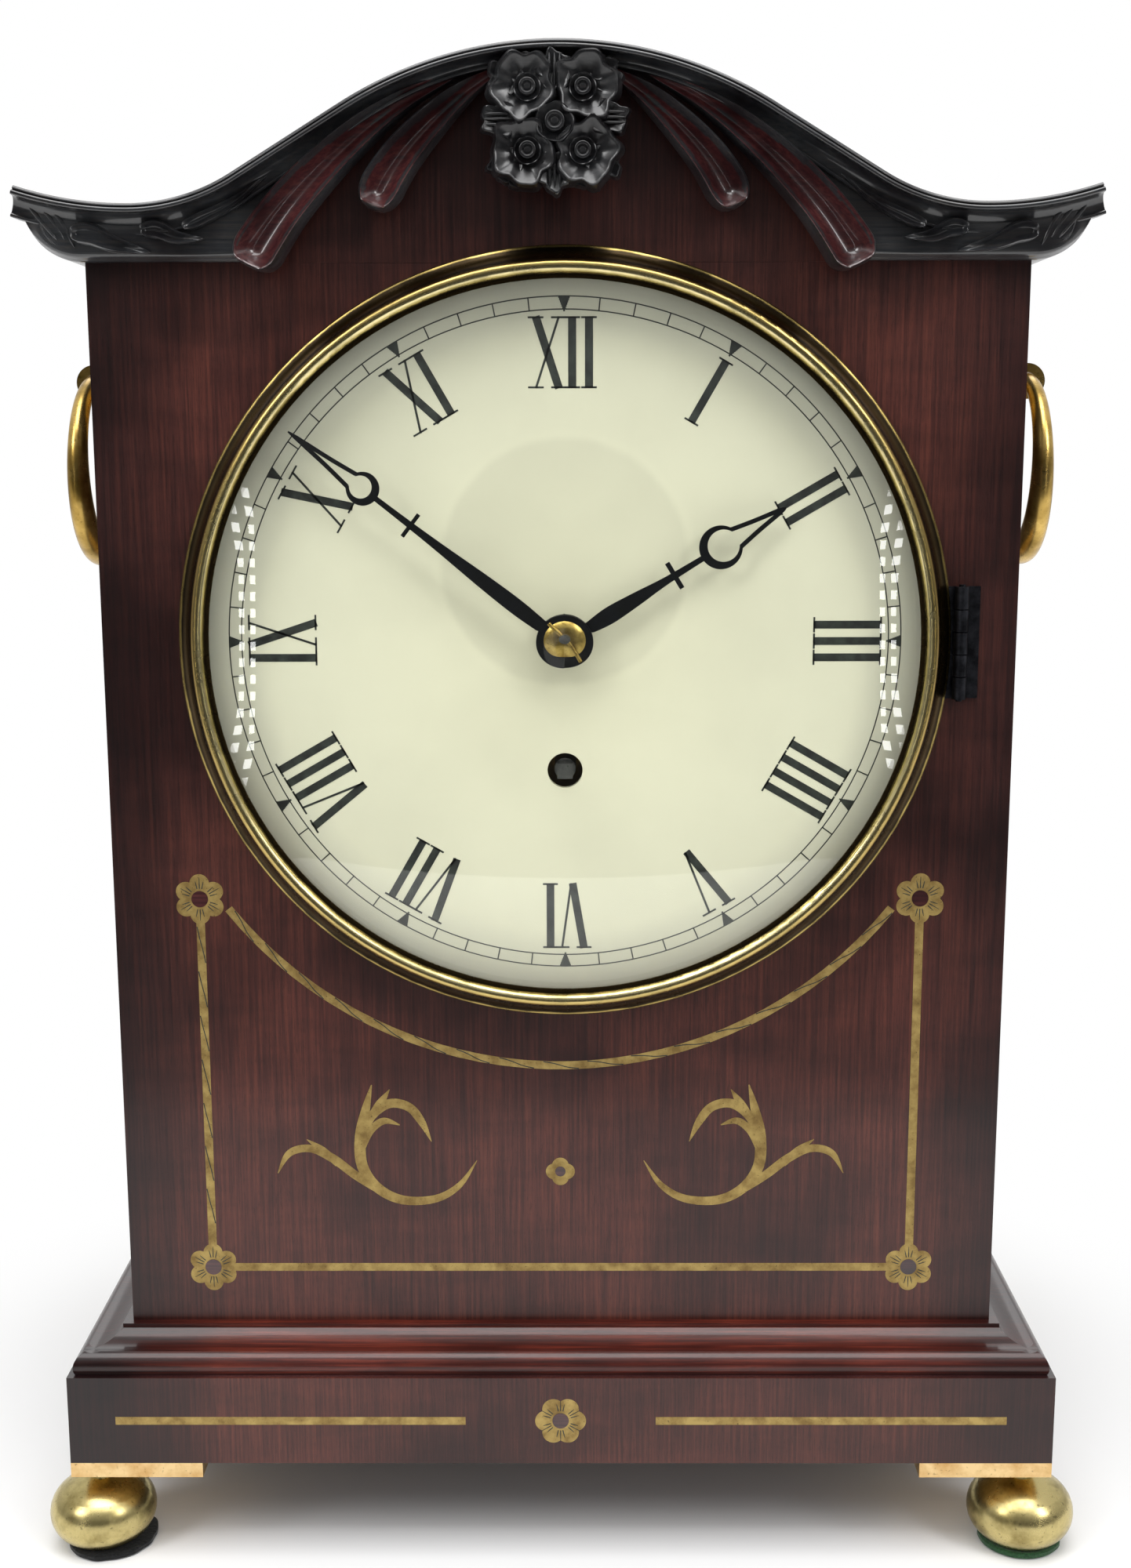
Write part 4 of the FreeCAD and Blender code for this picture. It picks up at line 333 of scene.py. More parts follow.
clockBrass = makeMetal("movementBrass", {"clean": "#c4a45c", "dull": "#a18347", "drift": 14.0,
                                         "speck": 1.2, "rough": 0.24, "spot": 0.7})
footBrass = makeMetal("agedFootBrass", {"clean": "#c4b47c", "dull": "#8b7c4c", "drift": 9.0,
                                        "speck": 1.1, "rough": 0.22, "spot": 0.55, "low": 0.30,
                                        "high": 0.52})
plateBrass = makeMetal("cornerPlateBrass", {"clean": "#eccd96", "dull": "#cda266", "drift": 8.0,
                                            "speck": 1.0, "rough": 0.30, "spot": 0.6})
handleBrass = makeMetal("handleBrass", {"clean": "#d6b468", "dull": "#9a7c3c", "drift": 10.0,
                                        "speck": 1.3, "rough": 0.22, "spot": 0.6})
inlayBrass = makeMetal("tarnishedInlayBrass", {"clean": "#b39a5c", "dull": "#82693a", "drift": 5.0,
                                               "speck": 0.8, "rough": 0.42, "spot": 0.45,
                                               "metallic": 0.6})
collarBrass = makeMetal("collarBrass", {"clean": "#c9ad62", "dull": "#8e7436", "drift": 3.0,
                                        "speck": 0.6, "rough": 0.26})
steel = makeMetal("polishedSteel", {"clean": "#a9a9a6", "dull": "#77777a", "drift": 9.0,
                                    "speck": 0.8, "rough": 0.28, "spot": 0.6})
darkSteel = makeMetal("brownedSteel", {"clean": "#3d3e43", "dull": "#1d1d20", "drift": 4.0,
                                       "speck": 0.6, "rough": 0.36, "spot": 0.75})
blackHands = makeMetal("blackenedHandSteel", {"clean": "#14161a", "dull": "#0b0c0e", "drift": 6.0,
                                              "speck": 0.5, "rough": 0.30, "metallic": 0.5})
leadBob = makeMetal("brassedBob", {"clean": "#bd9b55", "dull": "#94773d", "drift": 12.0,
                                   "speck": 1.0, "rough": 0.3})


def dialRadius(tree, place):
    # millimetres across the dial from its middle, as a vector and as a length
    centred = addNode(tree, "Mapping", {"Location": (-case["dialX"] * mm, 0, -case["dialZ"] * mm)},
                      {"Vector": place})
    flat = addNode(tree, "VectorMath", {"operation": "MULTIPLY", 1: (1000, 0, 1000)}, {0: centred})
    radius = addNode(tree, "VectorMath", {"operation": "LENGTH"}, {0: flat})
    return flat, radius.outputs["Value"]


bezelLook = {
    "inner": 95.0, "outer": 106.0, "drift": 7.0,
    # radius and tint of each ring: seat of the glass, bead, cove, worn edge
    "rings": [(95.2, "#6d5a35"), (97.3, "#3a2f1f"), (97.8, "#cdb873"), (98.6, "#f0e2ab"),
              (99.6, "#dcc47c"), (100.9, "#8b6f3c"), (101.4, "#4a3a25"), (102.4, "#6e5935"),
              (103.6, "#473a28"), (104.3, "#2e271d"), (104.8, "#b9a161"), (105.3, "#8a7747")],
}


def makeBezelBrass():
    # turned brass door rim: bright worn edge and bead, brown lacquer left in the cove
    look = bezelLook
    material, tree, shader, place = startMaterial("lacqueredBezelBrass", {"Metallic": 1.0})
    radius = dialRadius(tree, place)[1]
    drift = addNode(tree, "TexNoise", {"Scale": 1000 / look["drift"], "Detail": 5}, {"Vector": place})
    wander = addNode(tree, "Math", {"operation": "MULTIPLY_ADD", 1: 0.7, 2: -0.35}, {0: drift})
    shifted = addNode(tree, "Math", {"operation": "ADD"}, {0: radius, 1: wander})
    band = addNode(tree, "MapRange", {"From Min": look["inner"], "From Max": look["outer"]},
                   {"Value": shifted})
    wide = look["outer"] - look["inner"]
    stops = [((at - look["inner"]) / wide, tint) for at, tint in look["rings"]]
    colour = addNode(tree, "ValToRGB", {"stops": stops}, {"Fac": band})
    dull = addNode(tree, "ValToRGB", {"stops": [(0.34, 0.55), (0.60, 1.0)]}, {"Fac": drift})
    worn = addNode(tree, "Mix", {"data_type": "RGBA", "blend_type": "MULTIPLY", 0: 0.8},
                   {6: colour, 7: dull})
    rough = addNode(tree, "MapRange", {"To Min": 0.34, "To Max": 0.18}, {"Value": drift})
    plug(tree, shader, {"Base Color": worn.outputs[2], "Roughness": rough})
    return material


dialLook = {
    "rim": 102.0, "grit": 0.35, "blotch": 35.0,
    "stainUp": 21.5, "stainReach": 50.0,        # a faint round stain above the middle
}


def makeSilveredDial():
    # silvered brass under old lacquer: matt cream, with painted shade that greys it towards the rim under
    # the bezel
    look = dialLook
    material, tree, shader, place = startMaterial("silveredDialPlate", {
        "Metallic": 0.0, "Specular IOR Level": 0.3, "Coat Weight": 0.1, "Coat Roughness": 0.3})
    flat, radius = dialRadius(tree, place)
    ring = addNode(tree, "MapRange", {"From Min": 0.0, "From Max": look["rim"]}, {"Value": radius})
    # painted shade: the cream darkens towards the rim, in the shadow of the bezel
    tone = addNode(tree, "ValToRGB", {"stops": [(0.0, "#eceacb"), (1.0, "#8d8e86"), (0.80, "#e5e4ca"),
                                                (0.90, "#d2d2bf"), (0.97, "#a8a99d")]},
                   {"Fac": ring})
    stain = addNode(tree, "TexNoise", {"Scale": 1000 / look["blotch"], "Detail": 4}, {"Vector": place})
    soft = addNode(tree, "ValToRGB", {"stops": [(0.3, 0.93), (0.6, 1.0)]}, {"Fac": stain})
    lifted = addNode(tree, "VectorMath", {"operation": "ADD", 1: (0, 0, -look["stainUp"])}, {0: flat})
    fromStain = addNode(tree, "VectorMath", {"operation": "LENGTH"}, {0: lifted})
    uneven = addNode(tree, "Math", {"operation": "MULTIPLY_ADD", 1: 3.0},
                     {0: stain, 2: fromStain.outputs["Value"]})
    patch = addNode(tree, "MapRange", {"From Min": 0.0, "From Max": look["stainReach"]},
                    {"Value": uneven})
    ghost = addNode(tree, "ValToRGB", {"stops": [(0.0, 0.90), (0.76, 0.985), (0.68, 0.91), (0.72, 1.0),
                                                 (0.74, 1.0)]},
                    {"Fac": patch})
    marked = addNode(tree, "Mix", {"data_type": "RGBA", "blend_type": "MULTIPLY", 0: 1.0},
                     {6: tone, 7: ghost})
    mixed = addNode(tree, "Mix", {"data_type": "RGBA", "blend_type": "MULTIPLY", 0: 1.0},
                    {6: marked.outputs[2], 7: soft})
    grit = addNode(tree, "TexNoise", {"Scale": 1000 / look["grit"], "Detail": 2}, {"Vector": place})
    rough = addNode(tree, "MapRange", {"To Min": 0.42, "To Max": 0.58}, {"Value": grit})
    bump = addNode(tree, "Bump", {"Strength": 0.1, "Distance": 0.01 * mm}, {"Height": grit})
    plug(tree, shader, {"Base Color": mixed.outputs[2], "Roughness": rough, "Normal": bump})
    return material


def makeWax():
    # engraver's black wax: matt, slightly green, worn thin in places
    material, tree, shader, place = startMaterial("blackDialWax", {"Roughness": 0.5})
    wear = addNode(tree, "TexNoise", {"Scale": 1000 / 2.5, "Detail": 4}, {"Vector": place})
    tone = addNode(tree, "ValToRGB", {"stops": [(0.35, "#171b18"), (0.70, "#343a34")]}, {"Fac": wear})
    plug(tree, shader, {"Base Color": tone})
    return material


def makeGlass(name, tint):
    # old clear glass; shadows pass it so that what is behind stays lit
    material, tree, shader, place = startMaterial(name, {
        "Base Color": hexColour(tint), "Roughness": 0.0, "IOR": 1.45, "Transmission Weight": 1.0})
    ripple = addNode(tree, "TexNoise", {"Scale": 1000 / 45.0, "Detail": 1}, {"Vector": place})
    bump = addNode(tree, "Bump", {"Strength": 0.05, "Distance": 0.4 * mm}, {"Height": ripple})
    plug(tree, shader, {"Normal": bump})
    path = addNode(tree, "LightPath")
    clear = addNode(tree, "BsdfTransparent")
    easy = addNode(tree, "Math", {"operation": "MAXIMUM"},
                   {0: path.outputs["Is Shadow Ray"], 1: path.outputs["Is Diffuse Ray"]})
    mixed = addNode(tree, "MixShader", None, {0: easy, 1: shader, 2: clear})
    plug(tree, tree.nodes["Material Output"], {"Surface": mixed})
    return material


def makeCloth(name, look):
    # pressed or woven cloth: two tones, threads, and a fuzz of sheen
    material, tree, shader, place = startMaterial(name, {
        "Roughness": 0.95, "Sheen Weight": look["sheen"], "Sheen Roughness": 0.5,
        "Specular IOR Level": 0.15})
    nap = addNode(tree, "TexNoise", {"Scale": 1000 / look["thread"], "Detail": 4, "Roughness": 0.7},
                  {"Vector": place})
    tone = addNode(tree, "ValToRGB", {"stops": [(0.35, look["dark"]), (0.65, look["light"])]},
                   {"Fac": nap})
    bump = addNode(tree, "Bump", {"Strength": 0.8, "Distance": look["thread"] * 0.4 * mm},
                   {"Height": nap})
    plug(tree, shader, {"Base Color": tone, "Normal": bump})
    return material


bezelBrass = makeBezelBrass()
dialSilver = makeSilveredDial()
dialWax = makeWax()
domedGlass = makeGlass("domedBezelGlass", "#fbfdfa")
paneGlass = makeGlass("flatDoorGlass", "#f6faf6")
greenBaize = makeCloth("greenBaize", {"dark": "#1c3a24", "light": "#35603c", "thread": 0.7, "sheen": 0.3})
blackFelt = makeCloth("blackFelt", {"dark": "#070808", "light": "#1b1c1e", "thread": 0.9, "sheen": 0.25})
redSilk = makeCloth("pleatedSilk", {"dark": "#4b1614", "light": "#6e2420", "thread": 0.5, "sheen": 0.5})
gut = makeCloth("twistedGut", {"dark": "#9d7b46", "light": "#c9a86c", "thread": 0.6, "sheen": 0.0})
print("materials ready")


finishes = {
    frontMahogany: ["front_veneer"],
    sideMahogany: ["side_panel_left", "side_panel_right", "rear_header", "rear_door_frame"],
    innerPine: ["front_board", "floor_board", "seat_board"],
    carvedMahogany: ["roof_board"],
    plinthMahogany: ["plinth_frame"],
    mouldingMahogany: ["base_moulding"],
    inlayBrass: ["brass_inlay"],
    plateBrass: ["corner_plates"],
    footBrass: ["ball_feet"],
    handleBrass: ["handle_bosses", "handle_ring_left", "handle_ring_right", "rear_latch",
                  "door_hinge_wall_leaves", "door_hinge_leaves", "side_frets"],
    bezelBrass: ["bezel_ring"],
    darkSteel: ["bezel_hinge_plate", "bezel_hinge_leaf"],
    domedGlass: ["bezel_glass"],
    paneGlass: ["rear_door_glass"],
    dialSilver: ["dial_plate"],
    blackHands: ["minute_hand", "hour_hand"],
    gut: ["fusee_line"],
    redSilk: ["fret_silk"],
    greenBaize: ["baize_pads"],
    blackFelt: ["felt_pad"],
    collarBrass: ["hand_collet"],
    clockBrass: ["front_movement_plate", "back_movement_plate", "plate_pillars", "great_wheel",
                 "fusee", "spring_barrel", "centre_wheel", "minute_wheel", "hour_wheel",
                 "third_wheel", "escape_wheel", "back_cock", "dial_feet", "rating_nut"],
    steel: ["winding_arbor", "barrel_arbor", "centre_arbor", "cannon_pinion", "anchor",
            "suspension_spring", "pendulum_rod"],
    leadBob: ["pendulum_bob"],
}
for material, names in finishes.items():
    for name in names:
        meshData = nodes[name].data
        meshData.materials.clear()
        meshData.materials.append(material)
        for face in meshData.polygons:
            face.material_index = 0
print("nodes finished")


def roofSpot(share, inset):
    # point of the roof's outline, inset downwards, for a share from -1 (left tip) to 1 (right tip)
    line = roofLine
    side = -1 if share < 0 else 1
    lean = line["lean"]
    crest = line["crestRadius"] - inset
    sweep = line["sweepRadius"] + inset
    wing = line["wingRadius"] + inset
    tipAngle = math.asin((line["wingTip"] - line["sweepPlace"]) / line["wingRadius"])
    at = abs(share)
    if at < line["crestEnd"]:
        angle = lean * at / line["crestEnd"]
        x, z = crest * math.sin(angle), line["crestCentre"] + crest * math.cos(angle)
    elif at < line["slopeEnd"]:
        t = (at - line["crestEnd"]) / (line["slopeEnd"] - line["crestEnd"])
        x0, z0 = crest * math.sin(lean), line["crestCentre"] + crest * math.cos(lean)
        x1 = line["sweepPlace"] - sweep * math.sin(lean)
        z1 = line["sweepCentre"] - sweep * math.cos(lean)
        x, z = x0 + (x1 - x0) * t, z0 + (z1 - z0) * t
    elif at < line["sweepEnd"]:
        angle = lean * (line["sweepEnd"] - at) / (line["sweepEnd"] - line["slopeEnd"])
        x = line["sweepPlace"] - sweep * math.sin(angle)
        z = line["sweepCentre"] - sweep * math.cos(angle)
    else:
        angle = tipAngle * (at - line["sweepEnd"]) / (1 - line["sweepEnd"])
        centre = line["sweepCentre"] - line["sweepRadius"] + line["wingRadius"]
        x, z = line["sweepPlace"] + wing * math.sin(angle), centre - wing * math.cos(angle)
    return side * x, z


cornice = {
    "out": -92.4,       # face of the top fillet
    "back": -79.9,
    "bead": 0.62,       # radius of the bright bead
    "beadPlace": 1.75,
    "coveFoot": -87.6,
    "crestDeep": 4.0,   # from the top edge to the cove's lower ridge, at the crest
    "wingDeep": 6.6,    # and over the wings
    "ridge": 0.55,
}


def corniceSection(share):
    # closed section as (inset, y) pairs: fillet, bead, cove, ridge, back
    look = cornice
    deep = look["crestDeep"] + (look["wingDeep"] - look["crestDeep"]) * smoothStep(0.1, 0.7, abs(share))
    out = look["out"]
    points = [(0.0, look["back"]), (0.0, out + 0.5), (0.25, out + 0.1), (0.8, out), (1.0, out + 0.5)]
    for number in range(7):
        angle = math.radians(200 - 36 * number)
        points.append((look["beadPlace"] + look["bead"] * math.cos(angle),
                       out - 0.05 - look["bead"] * math.sin(angle)))
    start, end = (look["beadPlace"] + 0.65, out + 0.8), (deep, look["coveFoot"])
    for number in range(9):
        angle = math.radians(90 * number / 8)
        points.append((end[0] - (end[0] - start[0]) * math.cos(angle),
                       start[1] + (end[1] - start[1]) * math.sin(angle)))
    ridge = look["ridge"]
    for number in range(6):
        angle = math.radians(180 - 40 * number)
        points.append((deep + ridge + ridge * math.cos(angle),
                       end[1] - ridge * 0.9 * math.sin(angle) - 0.1))
    points += [(deep + ridge * 2, -85.5), (deep + ridge * 2, look["back"]), (0.0, look["back"])]
    return points


def makeCornice():
    rows = len(corniceSection(0)) - 1

    def corniceSpot(u, v):
        share = 2 * u - 1
        inset, y = corniceSection(share)[round(v * rows)]
        x, z = roofSpot(share, inset)
        return x, y, z

    strip = shapedGrid("corniceMoulding", 240, rows, corniceSpot)
    capEnds(strip)
    return dress(strip, carvedMahogany, smooth=50)


ground = {
    "face": -86.0,
    "flush": -80.12,            # between the outer drops the front's wood runs up to the cove
    "back": -79.95,
    "foot": case["eaves"],
    "inset": 0.9,               # how far its top edge lies under the cornice's
    "lip": 2.2,                 # undercut of its lower edge
    "ovoloCentre": (124.7, 380.4),
    "ovoloRadius": 15.0,
    "wingSwell": 2.2,
    "swellFrom": 88.0,
    "swellFull": 112.0,
    "tip": 139.7,
    "bandFrom": 24.0,           # the forward band grows from here outwards
    "bandFull": 46.0,
}


def groundFoot(x):
    look = ground
    at = abs(x)
    if at < look["ovoloCentre"][0]:
        return look["foot"]
    fall = look["ovoloRadius"] ** 2 - (at - look["ovoloCentre"][0]) ** 2
    return look["ovoloCentre"][1] - math.sqrt(max(fall, 0.0))


def wingShare(x, z):
    # 1 outside the outer drop's centre line, where the carved band stands forward, and 0 inside it
    at = abs(x)
    line = drops["outerDrop"]["line"]
    if at >= line[0][0]:
        return 1.0
    if at <= line[-1][0]:
        return 0.0
    for start, end in zip(line, line[1:]):
        if start[0] >= at >= end[0]:
            level = start[1] + (end[1] - start[1]) * (start[0] - at) / (start[0] - end[0])
            return smoothStep(-1.2, 1.2, z - level) * smoothStep(ground["bandFrom"], ground["bandFull"], at)
    return 0.0


def makeGround():
    look = ground
    faceShare = 0.8         # of the rows; the others go round the foot and up the back

    def groundSpot(u, v):
        share = 2 * u - 1
        share = math.copysign(1 - (1 - abs(share)) ** 1.25, share)      # closer columns at the tips
        x, top = roofSpot(share, look["inset"])
        low = groundFoot(x)
        wing = smoothStep(look["swellFrom"], look["swellFull"], abs(x))
        wing *= smoothStep(0.0, 6.0, look["tip"] - abs(x))
        if v < faceShare:
            t = v / faceShare
            z = top + (low - top) * t
            out = wingShare(x, z)
            y = look["flush"] + (look["face"] - look["flush"]) * out
            y -= look["wingSwell"] * wing * max(math.sin(math.pi * t), 0.0) ** 0.8
            y += look["lip"] * smoothStep(0.9, 1.0, t) * out
            return x, y, z
        t = (v - faceShare) / (1 - faceShare)
        if t > 0.85:
            return x, look["flush"] + (look["face"] - look["flush"]) * wingShare(x, top), top
        out = wingShare(x, low)
        start = look["flush"] + (look["face"] + look["lip"] - look["flush"]) * out
        share = min(max(t / 0.4 - 1, 0.0), 1.0)
        return x, start + (look["back"] - start) * min(t / 0.4, 1.0), low + (top - low) * share

    strip = shapedGrid("carvedGround", 260, 50, groundSpot)
    capEnds(strip)
    dress(strip, carvedMahogany, instead=["pediment_carving"], smooth=60)
    strip.data.materials.append(frontMahogany)
    for face in strip.data.polygons:
        spot = face.center / mm
        if wingShare(spot.x, spot.z) < 0.2:
            face.material_index = 1


# Each drop: points from head to tail, half width, height, depth of its hollow, and the share of its
# length at which it is full wide
drops = {
    "outerDrop": {"line": [(79.4, 363.4), (76.0, 369.6), (67.6, 380.6), (53.8, 394.0), (39.0, 404.8),
                           (22.6, 412.6)],
                  "half": 7.3, "high": 6.6, "deep": 4.6, "full": 0.18},
    "innerDrop": {"line": [(47.0, 378.0), (44.4, 384.0), (39.0, 391.8), (31.2, 400.0), (22.0, 407.8),
                           (12.0, 413.8)],
                  "half": 6.3, "high": 6.4, "deep": 4.6, "full": 0.21},
    "wingDrop": {"line": [(125.6, 372.2), (120.5, 372.0), (114.0, 369.4), (105.0, 367.4)],
                 "half": 3.1, "high": 2.0, "deep": 1.9, "full": 0.30},
    "wingBud": {"line": [(107.4, 372.8), (103.0, 373.2), (98.0, 371.2), (91.0, 370.8)],
                "half": 2.6, "high": 2.0, "deep": 1.8, "full": 0.32},
    "coveLeaf": {"line": [(96.4, 373.6), (91.0, 376.0), (83.0, 380.0), (74.0, 386.6)],
                 "half": 1.9, "high": 1.9, "deep": 1.3, "full": 0.3},
}
dropCut = {
    "shift": -0.9,          # the carver set the drops a little to the left of the middle
    "small": 3.0,           # lower ones are leaves on the band, and keep their black finish
    "smallFace": -88.0,
    "shell": 1.5,
    "frontShare": 0.82,     # of the rows; the others close the back
    "flank": 0.30,
    "hollow": 0.72,
}


def makeDrop(name, side):
    look, shape = drops[name], dropCut
    face = shape["smallFace"] if look["high"] < shape["small"] else ground["face"]
    bottom = face + shape["shell"]

    def dropSpot(u, v):
        share = u ** 1.2
        (x, z), run = runAt(look["line"], share)
        full = look["full"]
        if share < full:
            wide = math.sqrt(max(1 - (1 - share / full) ** 2, 0.0))
        else:
            wide = 1 - 0.35 * (share - full) / (1 - full) - 0.65 * ((share - full) / (1 - full)) ** 2.6
        half = look["half"] * wide
        if v > shape["frontShare"]:
            t = (v - shape["frontShare"]) / (1 - shape["frontShare"])
            across, y = 1 - 2 * t, bottom
        else:
            across = 2 * v / shape["frontShare"] - 1
            edge = abs(across)
            flank = math.sin(math.pi / 2 * min((1 - edge) / shape["flank"], 1.0))
            hollow = math.cos(math.pi / 2 * min(edge / shape["hollow"], 1.0)) ** 0.8
            fade = min(wide * 1.6, 1.0)
            low = smoothStep(0.0, 0.16, share) * smoothStep(1.0, 0.72, share)
            y = bottom - shape["shell"] * min(flank * 3, 1)
            y -= look["high"] * flank * fade * (1 - 0.35 * share)
            y += look["deep"] * hollow * fade * low
        return side * (x - run.y * half * across) + shape["shift"], y, z + run.x * half * across

    return shapedGrid(name, 64, 46, dropSpot)


def makeDrops():
    for name, look in drops.items():
        both = joinPieces([makeDrop(name, -1), makeDrop(name, 1)], name + "Pair")
        dress(both, carvedMahogany, smooth=60)
        if look["high"] < dropCut["small"]:
            continue
        both.data.materials.append(scoopMahogany)
        for face in both.data.polygons:         # red wood shows where hands have rubbed the hollow
            if face.normal.y < -0.55 and face.center.y < (ground["face"] - 0.4) * mm:
                face.material_index = 1


ribs = [
    {"line": [(138.2, 380.9), (134.5, 376.0), (130.0, 370.6)], "half": 0.75, "high": 1.0},
    {"line": [(136.6, 381.0), (132.0, 376.6), (128.0, 370.6)], "half": 0.7, "high": 0.9},
    {"line": [(134.6, 380.6), (129.4, 376.2), (125.6, 368.8)], "half": 0.8, "high": 0.9},
]
ribFace = -87.4


def makeRib(look, side):
    def ribSpot(u, v):
        (x, z), run = runAt(look["line"], u, 0.02)
        half = look["half"] * math.sin(math.pi * min(max(u, 0.02), 0.98)) ** 0.5
        angle = 2 * math.pi * v
        across = half * math.cos(angle)
        return side * (x - run.y * across), ribFace - look["high"] * math.sin(angle), z + run.x * across

    return shapedGrid("wingRib", 24, 12, ribSpot)


def makeRibs():
    pieces = [makeRib(look, side) for look in ribs for side in (-1, 1)]
    for piece in pieces:
        capEnds(piece)
    dress(joinPieces(pieces, "wingLeafRibs"), carvedMahogany, smooth=60)


rosette = {
    "x": -0.6, "z": 399.0, "back": -90.5,
    "lobe": 9.4, "lobeAcross": 8.2, "lobeUp": 8.6, "lobeDown": 7.6,
    # place of each leaf between the lobes, and the way it points
    "leaves": [(-13.6, 0.4, 0.0), (13.6, 0.8, math.pi), (0, 12.2, -1.57), (0, -12.4, 1.57)],
    "vein": 8.5, "veinHalf": 0.42,
}


def makeLobe(x, z, radius, ripple, turn, high, dish, squeeze=1.0, aim=0.0, base=None):
    # a carved lobe: scalloped outline, raised curled rim, dished middle
    back = rosette["back"] if base is None else base
    frontShare = 0.85       # of the rows; the others close the back

    def lobeSpot(u, v):
        angle = 2 * math.pi * u
        scallop = 1 + ripple * math.cos(5 * angle + turn) + ripple * 0.5 * math.sin(9 * angle + turn)
        if v < frontShare:
            share = 1 - v / frontShare
            edge = 1 - share
            y = -high * math.sin(math.pi / 2 * min(edge / 0.16, 1.0))
            y += dish * (math.cos(math.pi / 2 * min(share / 0.84, 1.0)) ** 0.9)
            y -= 0.35 * math.cos(5 * angle + turn) * share
        else:
            share, y = 1 - (v - frontShare) / (1 - frontShare), 1.5
        reach = radius * scallop * share
        a, b = reach * math.cos(angle) * squeeze, reach * math.sin(angle)
        return (x + a * math.cos(aim) - b * math.sin(aim), back + y,
                z + a * math.sin(aim) + b * math.cos(aim))

    return shapedGrid("lobe", 60, 26, lobeSpot)


def makeStud(x, z, radius, front):
    deselectAll()
    turned = (math.pi / 2, 0, 0)
    bpy.ops.mesh.primitive_cylinder_add(vertices=28, radius=radius * mm, depth=3.4 * mm,
                                        location=(x * mm, (front + 1.7) * mm, z * mm), rotation=turned)
    stud = takeNew("stud")
    bpy.ops.object.mode_set(mode="EDIT")
    bpy.ops.mesh.select_mode(type="FACE")
    bpy.ops.mesh.select_all(action="DESELECT")
    bpy.ops.object.mode_set(mode="OBJECT")
    for face in stud.data.polygons:
        face.select = face.normal.z > 0.9
    bpy.ops.object.mode_set(mode="EDIT")
    bpy.ops.mesh.inset(thickness=radius * 0.34 * mm, depth=0)
    bpy.ops.mesh.inset(thickness=radius * 0.12 * mm, depth=-0.9 * mm)
    bpy.ops.mesh.inset(thickness=radius * 0.18 * mm, depth=0.35 * mm)
    bpy.ops.object.mode_set(mode="OBJECT")
    rounding = stud.modifiers.new("rounding", "BEVEL")
    rounding.width = 0.22 * mm
    rounding.segments = 3
    bpy.ops.object.modifier_apply(modifier="rounding")
    return stud


def makeRosette():
    look = rosette
    pieces = []
    for number, (across, up) in enumerate(((-1, 1), (1, 1), (-1, -1), (1, -1))):
        x = look["x"] + look["lobeAcross"] * across
        z = look["z"] + (look["lobeUp"] if up > 0 else -look["lobeDown"])
        pieces.append(makeLobe(x, z, look["lobe"], 0.085, number * 1.3, 4.4, 3.4,
                               squeeze=0.92, aim=0.4 * across * up))
        pieces.append(makeLobe(x + 4.4 * across, z + 2.6 * up, 4.8, 0.14, number, 2.6, 1.6,
                               base=look["back"] + 0.6))
        pieces.append(makeLobe(x + 0.5 * across, z + 4.6 * up, 4.6, 0.14, number + 2, 2.9, 1.6,
                               base=look["back"] + 0.9))
        pieces.append(makeLobe(x * 0.86, z - 0.4 * up, 4.0, 0.0, 0, 3.2, 2.0))
        pieces.append(makeStud(x * 0.86, z - 0.4 * up, 2.15, look["back"] - 4.6))
    for number, (x, z, aim) in enumerate(look["leaves"]):
        pieces.append(makeLobe(look["x"] + x, look["z"] + z, 4.6, 0.11, number, 3.2, 1.1,
                               squeeze=1.22, aim=aim))
        for shift in (-1.3, 0.0, 1.3):
            dx = shift if z > 5 or z < -5 else 0
            dz = 0 if dx or abs(z) > 5 else shift
            pieces.append(makeVein(look["x"] + x + dx, look["z"] + z + dz, aim))
    pieces.append(makeLobe(look["x"], look["z"] - 0.4, 5.6, 0.03, 0, 4.4, 2.6))
    pieces.append(makeStud(look["x"], look["z"] - 0.4, 2.5, look["back"] - 6.2))
    dress(joinPieces(pieces, "carvedRosette"), rosetteMahogany,
          instead=["patera"], smooth=60)


def makeVein(x, z, aim):
    look = rosette

    def veinSpot(u, v):
        angle = 2 * math.pi * v
        half = look["veinHalf"] * math.sin(math.pi * min(max(u, 0.03), 0.97)) ** 0.5
        along, across = (u - 0.5) * look["vein"], half * math.cos(angle)
        return (x + along * math.cos(aim) - across * math.sin(aim),
                look["back"] - 2.9 - 0.55 * math.sin(angle) * half / look["veinHalf"],
                z + along * math.sin(aim) + across * math.cos(aim))

    piece = shapedGrid("vein", 14, 10, veinSpot)
    capEnds(piece)
    return piece


makeCornice()
makeGround()
makeDrops()
makeRibs()
makeRosette()
print("pediment carved")


markings = {
    "middle": 77.6,         # radius of the numerals' middle
    "half": 9.4,            # half their height
    "thick": 2.15,
    "thin": 0.60,
    "serif": 0.50,
    "serifHalf": 2.1,
    "innerRing": 88.9,
    "outerRing": 92.3,
    "line": 0.34,
    "raise": 0.06,
    "wedgeSteps": 7,        # a small wedge at each hour, narrow towards the centre
    "wedgeStep": 0.57,
    "wedgeBelow": 0.6,
    "wedgeFoot": 0.5,
    "wedgeSpread": 2.6,
}
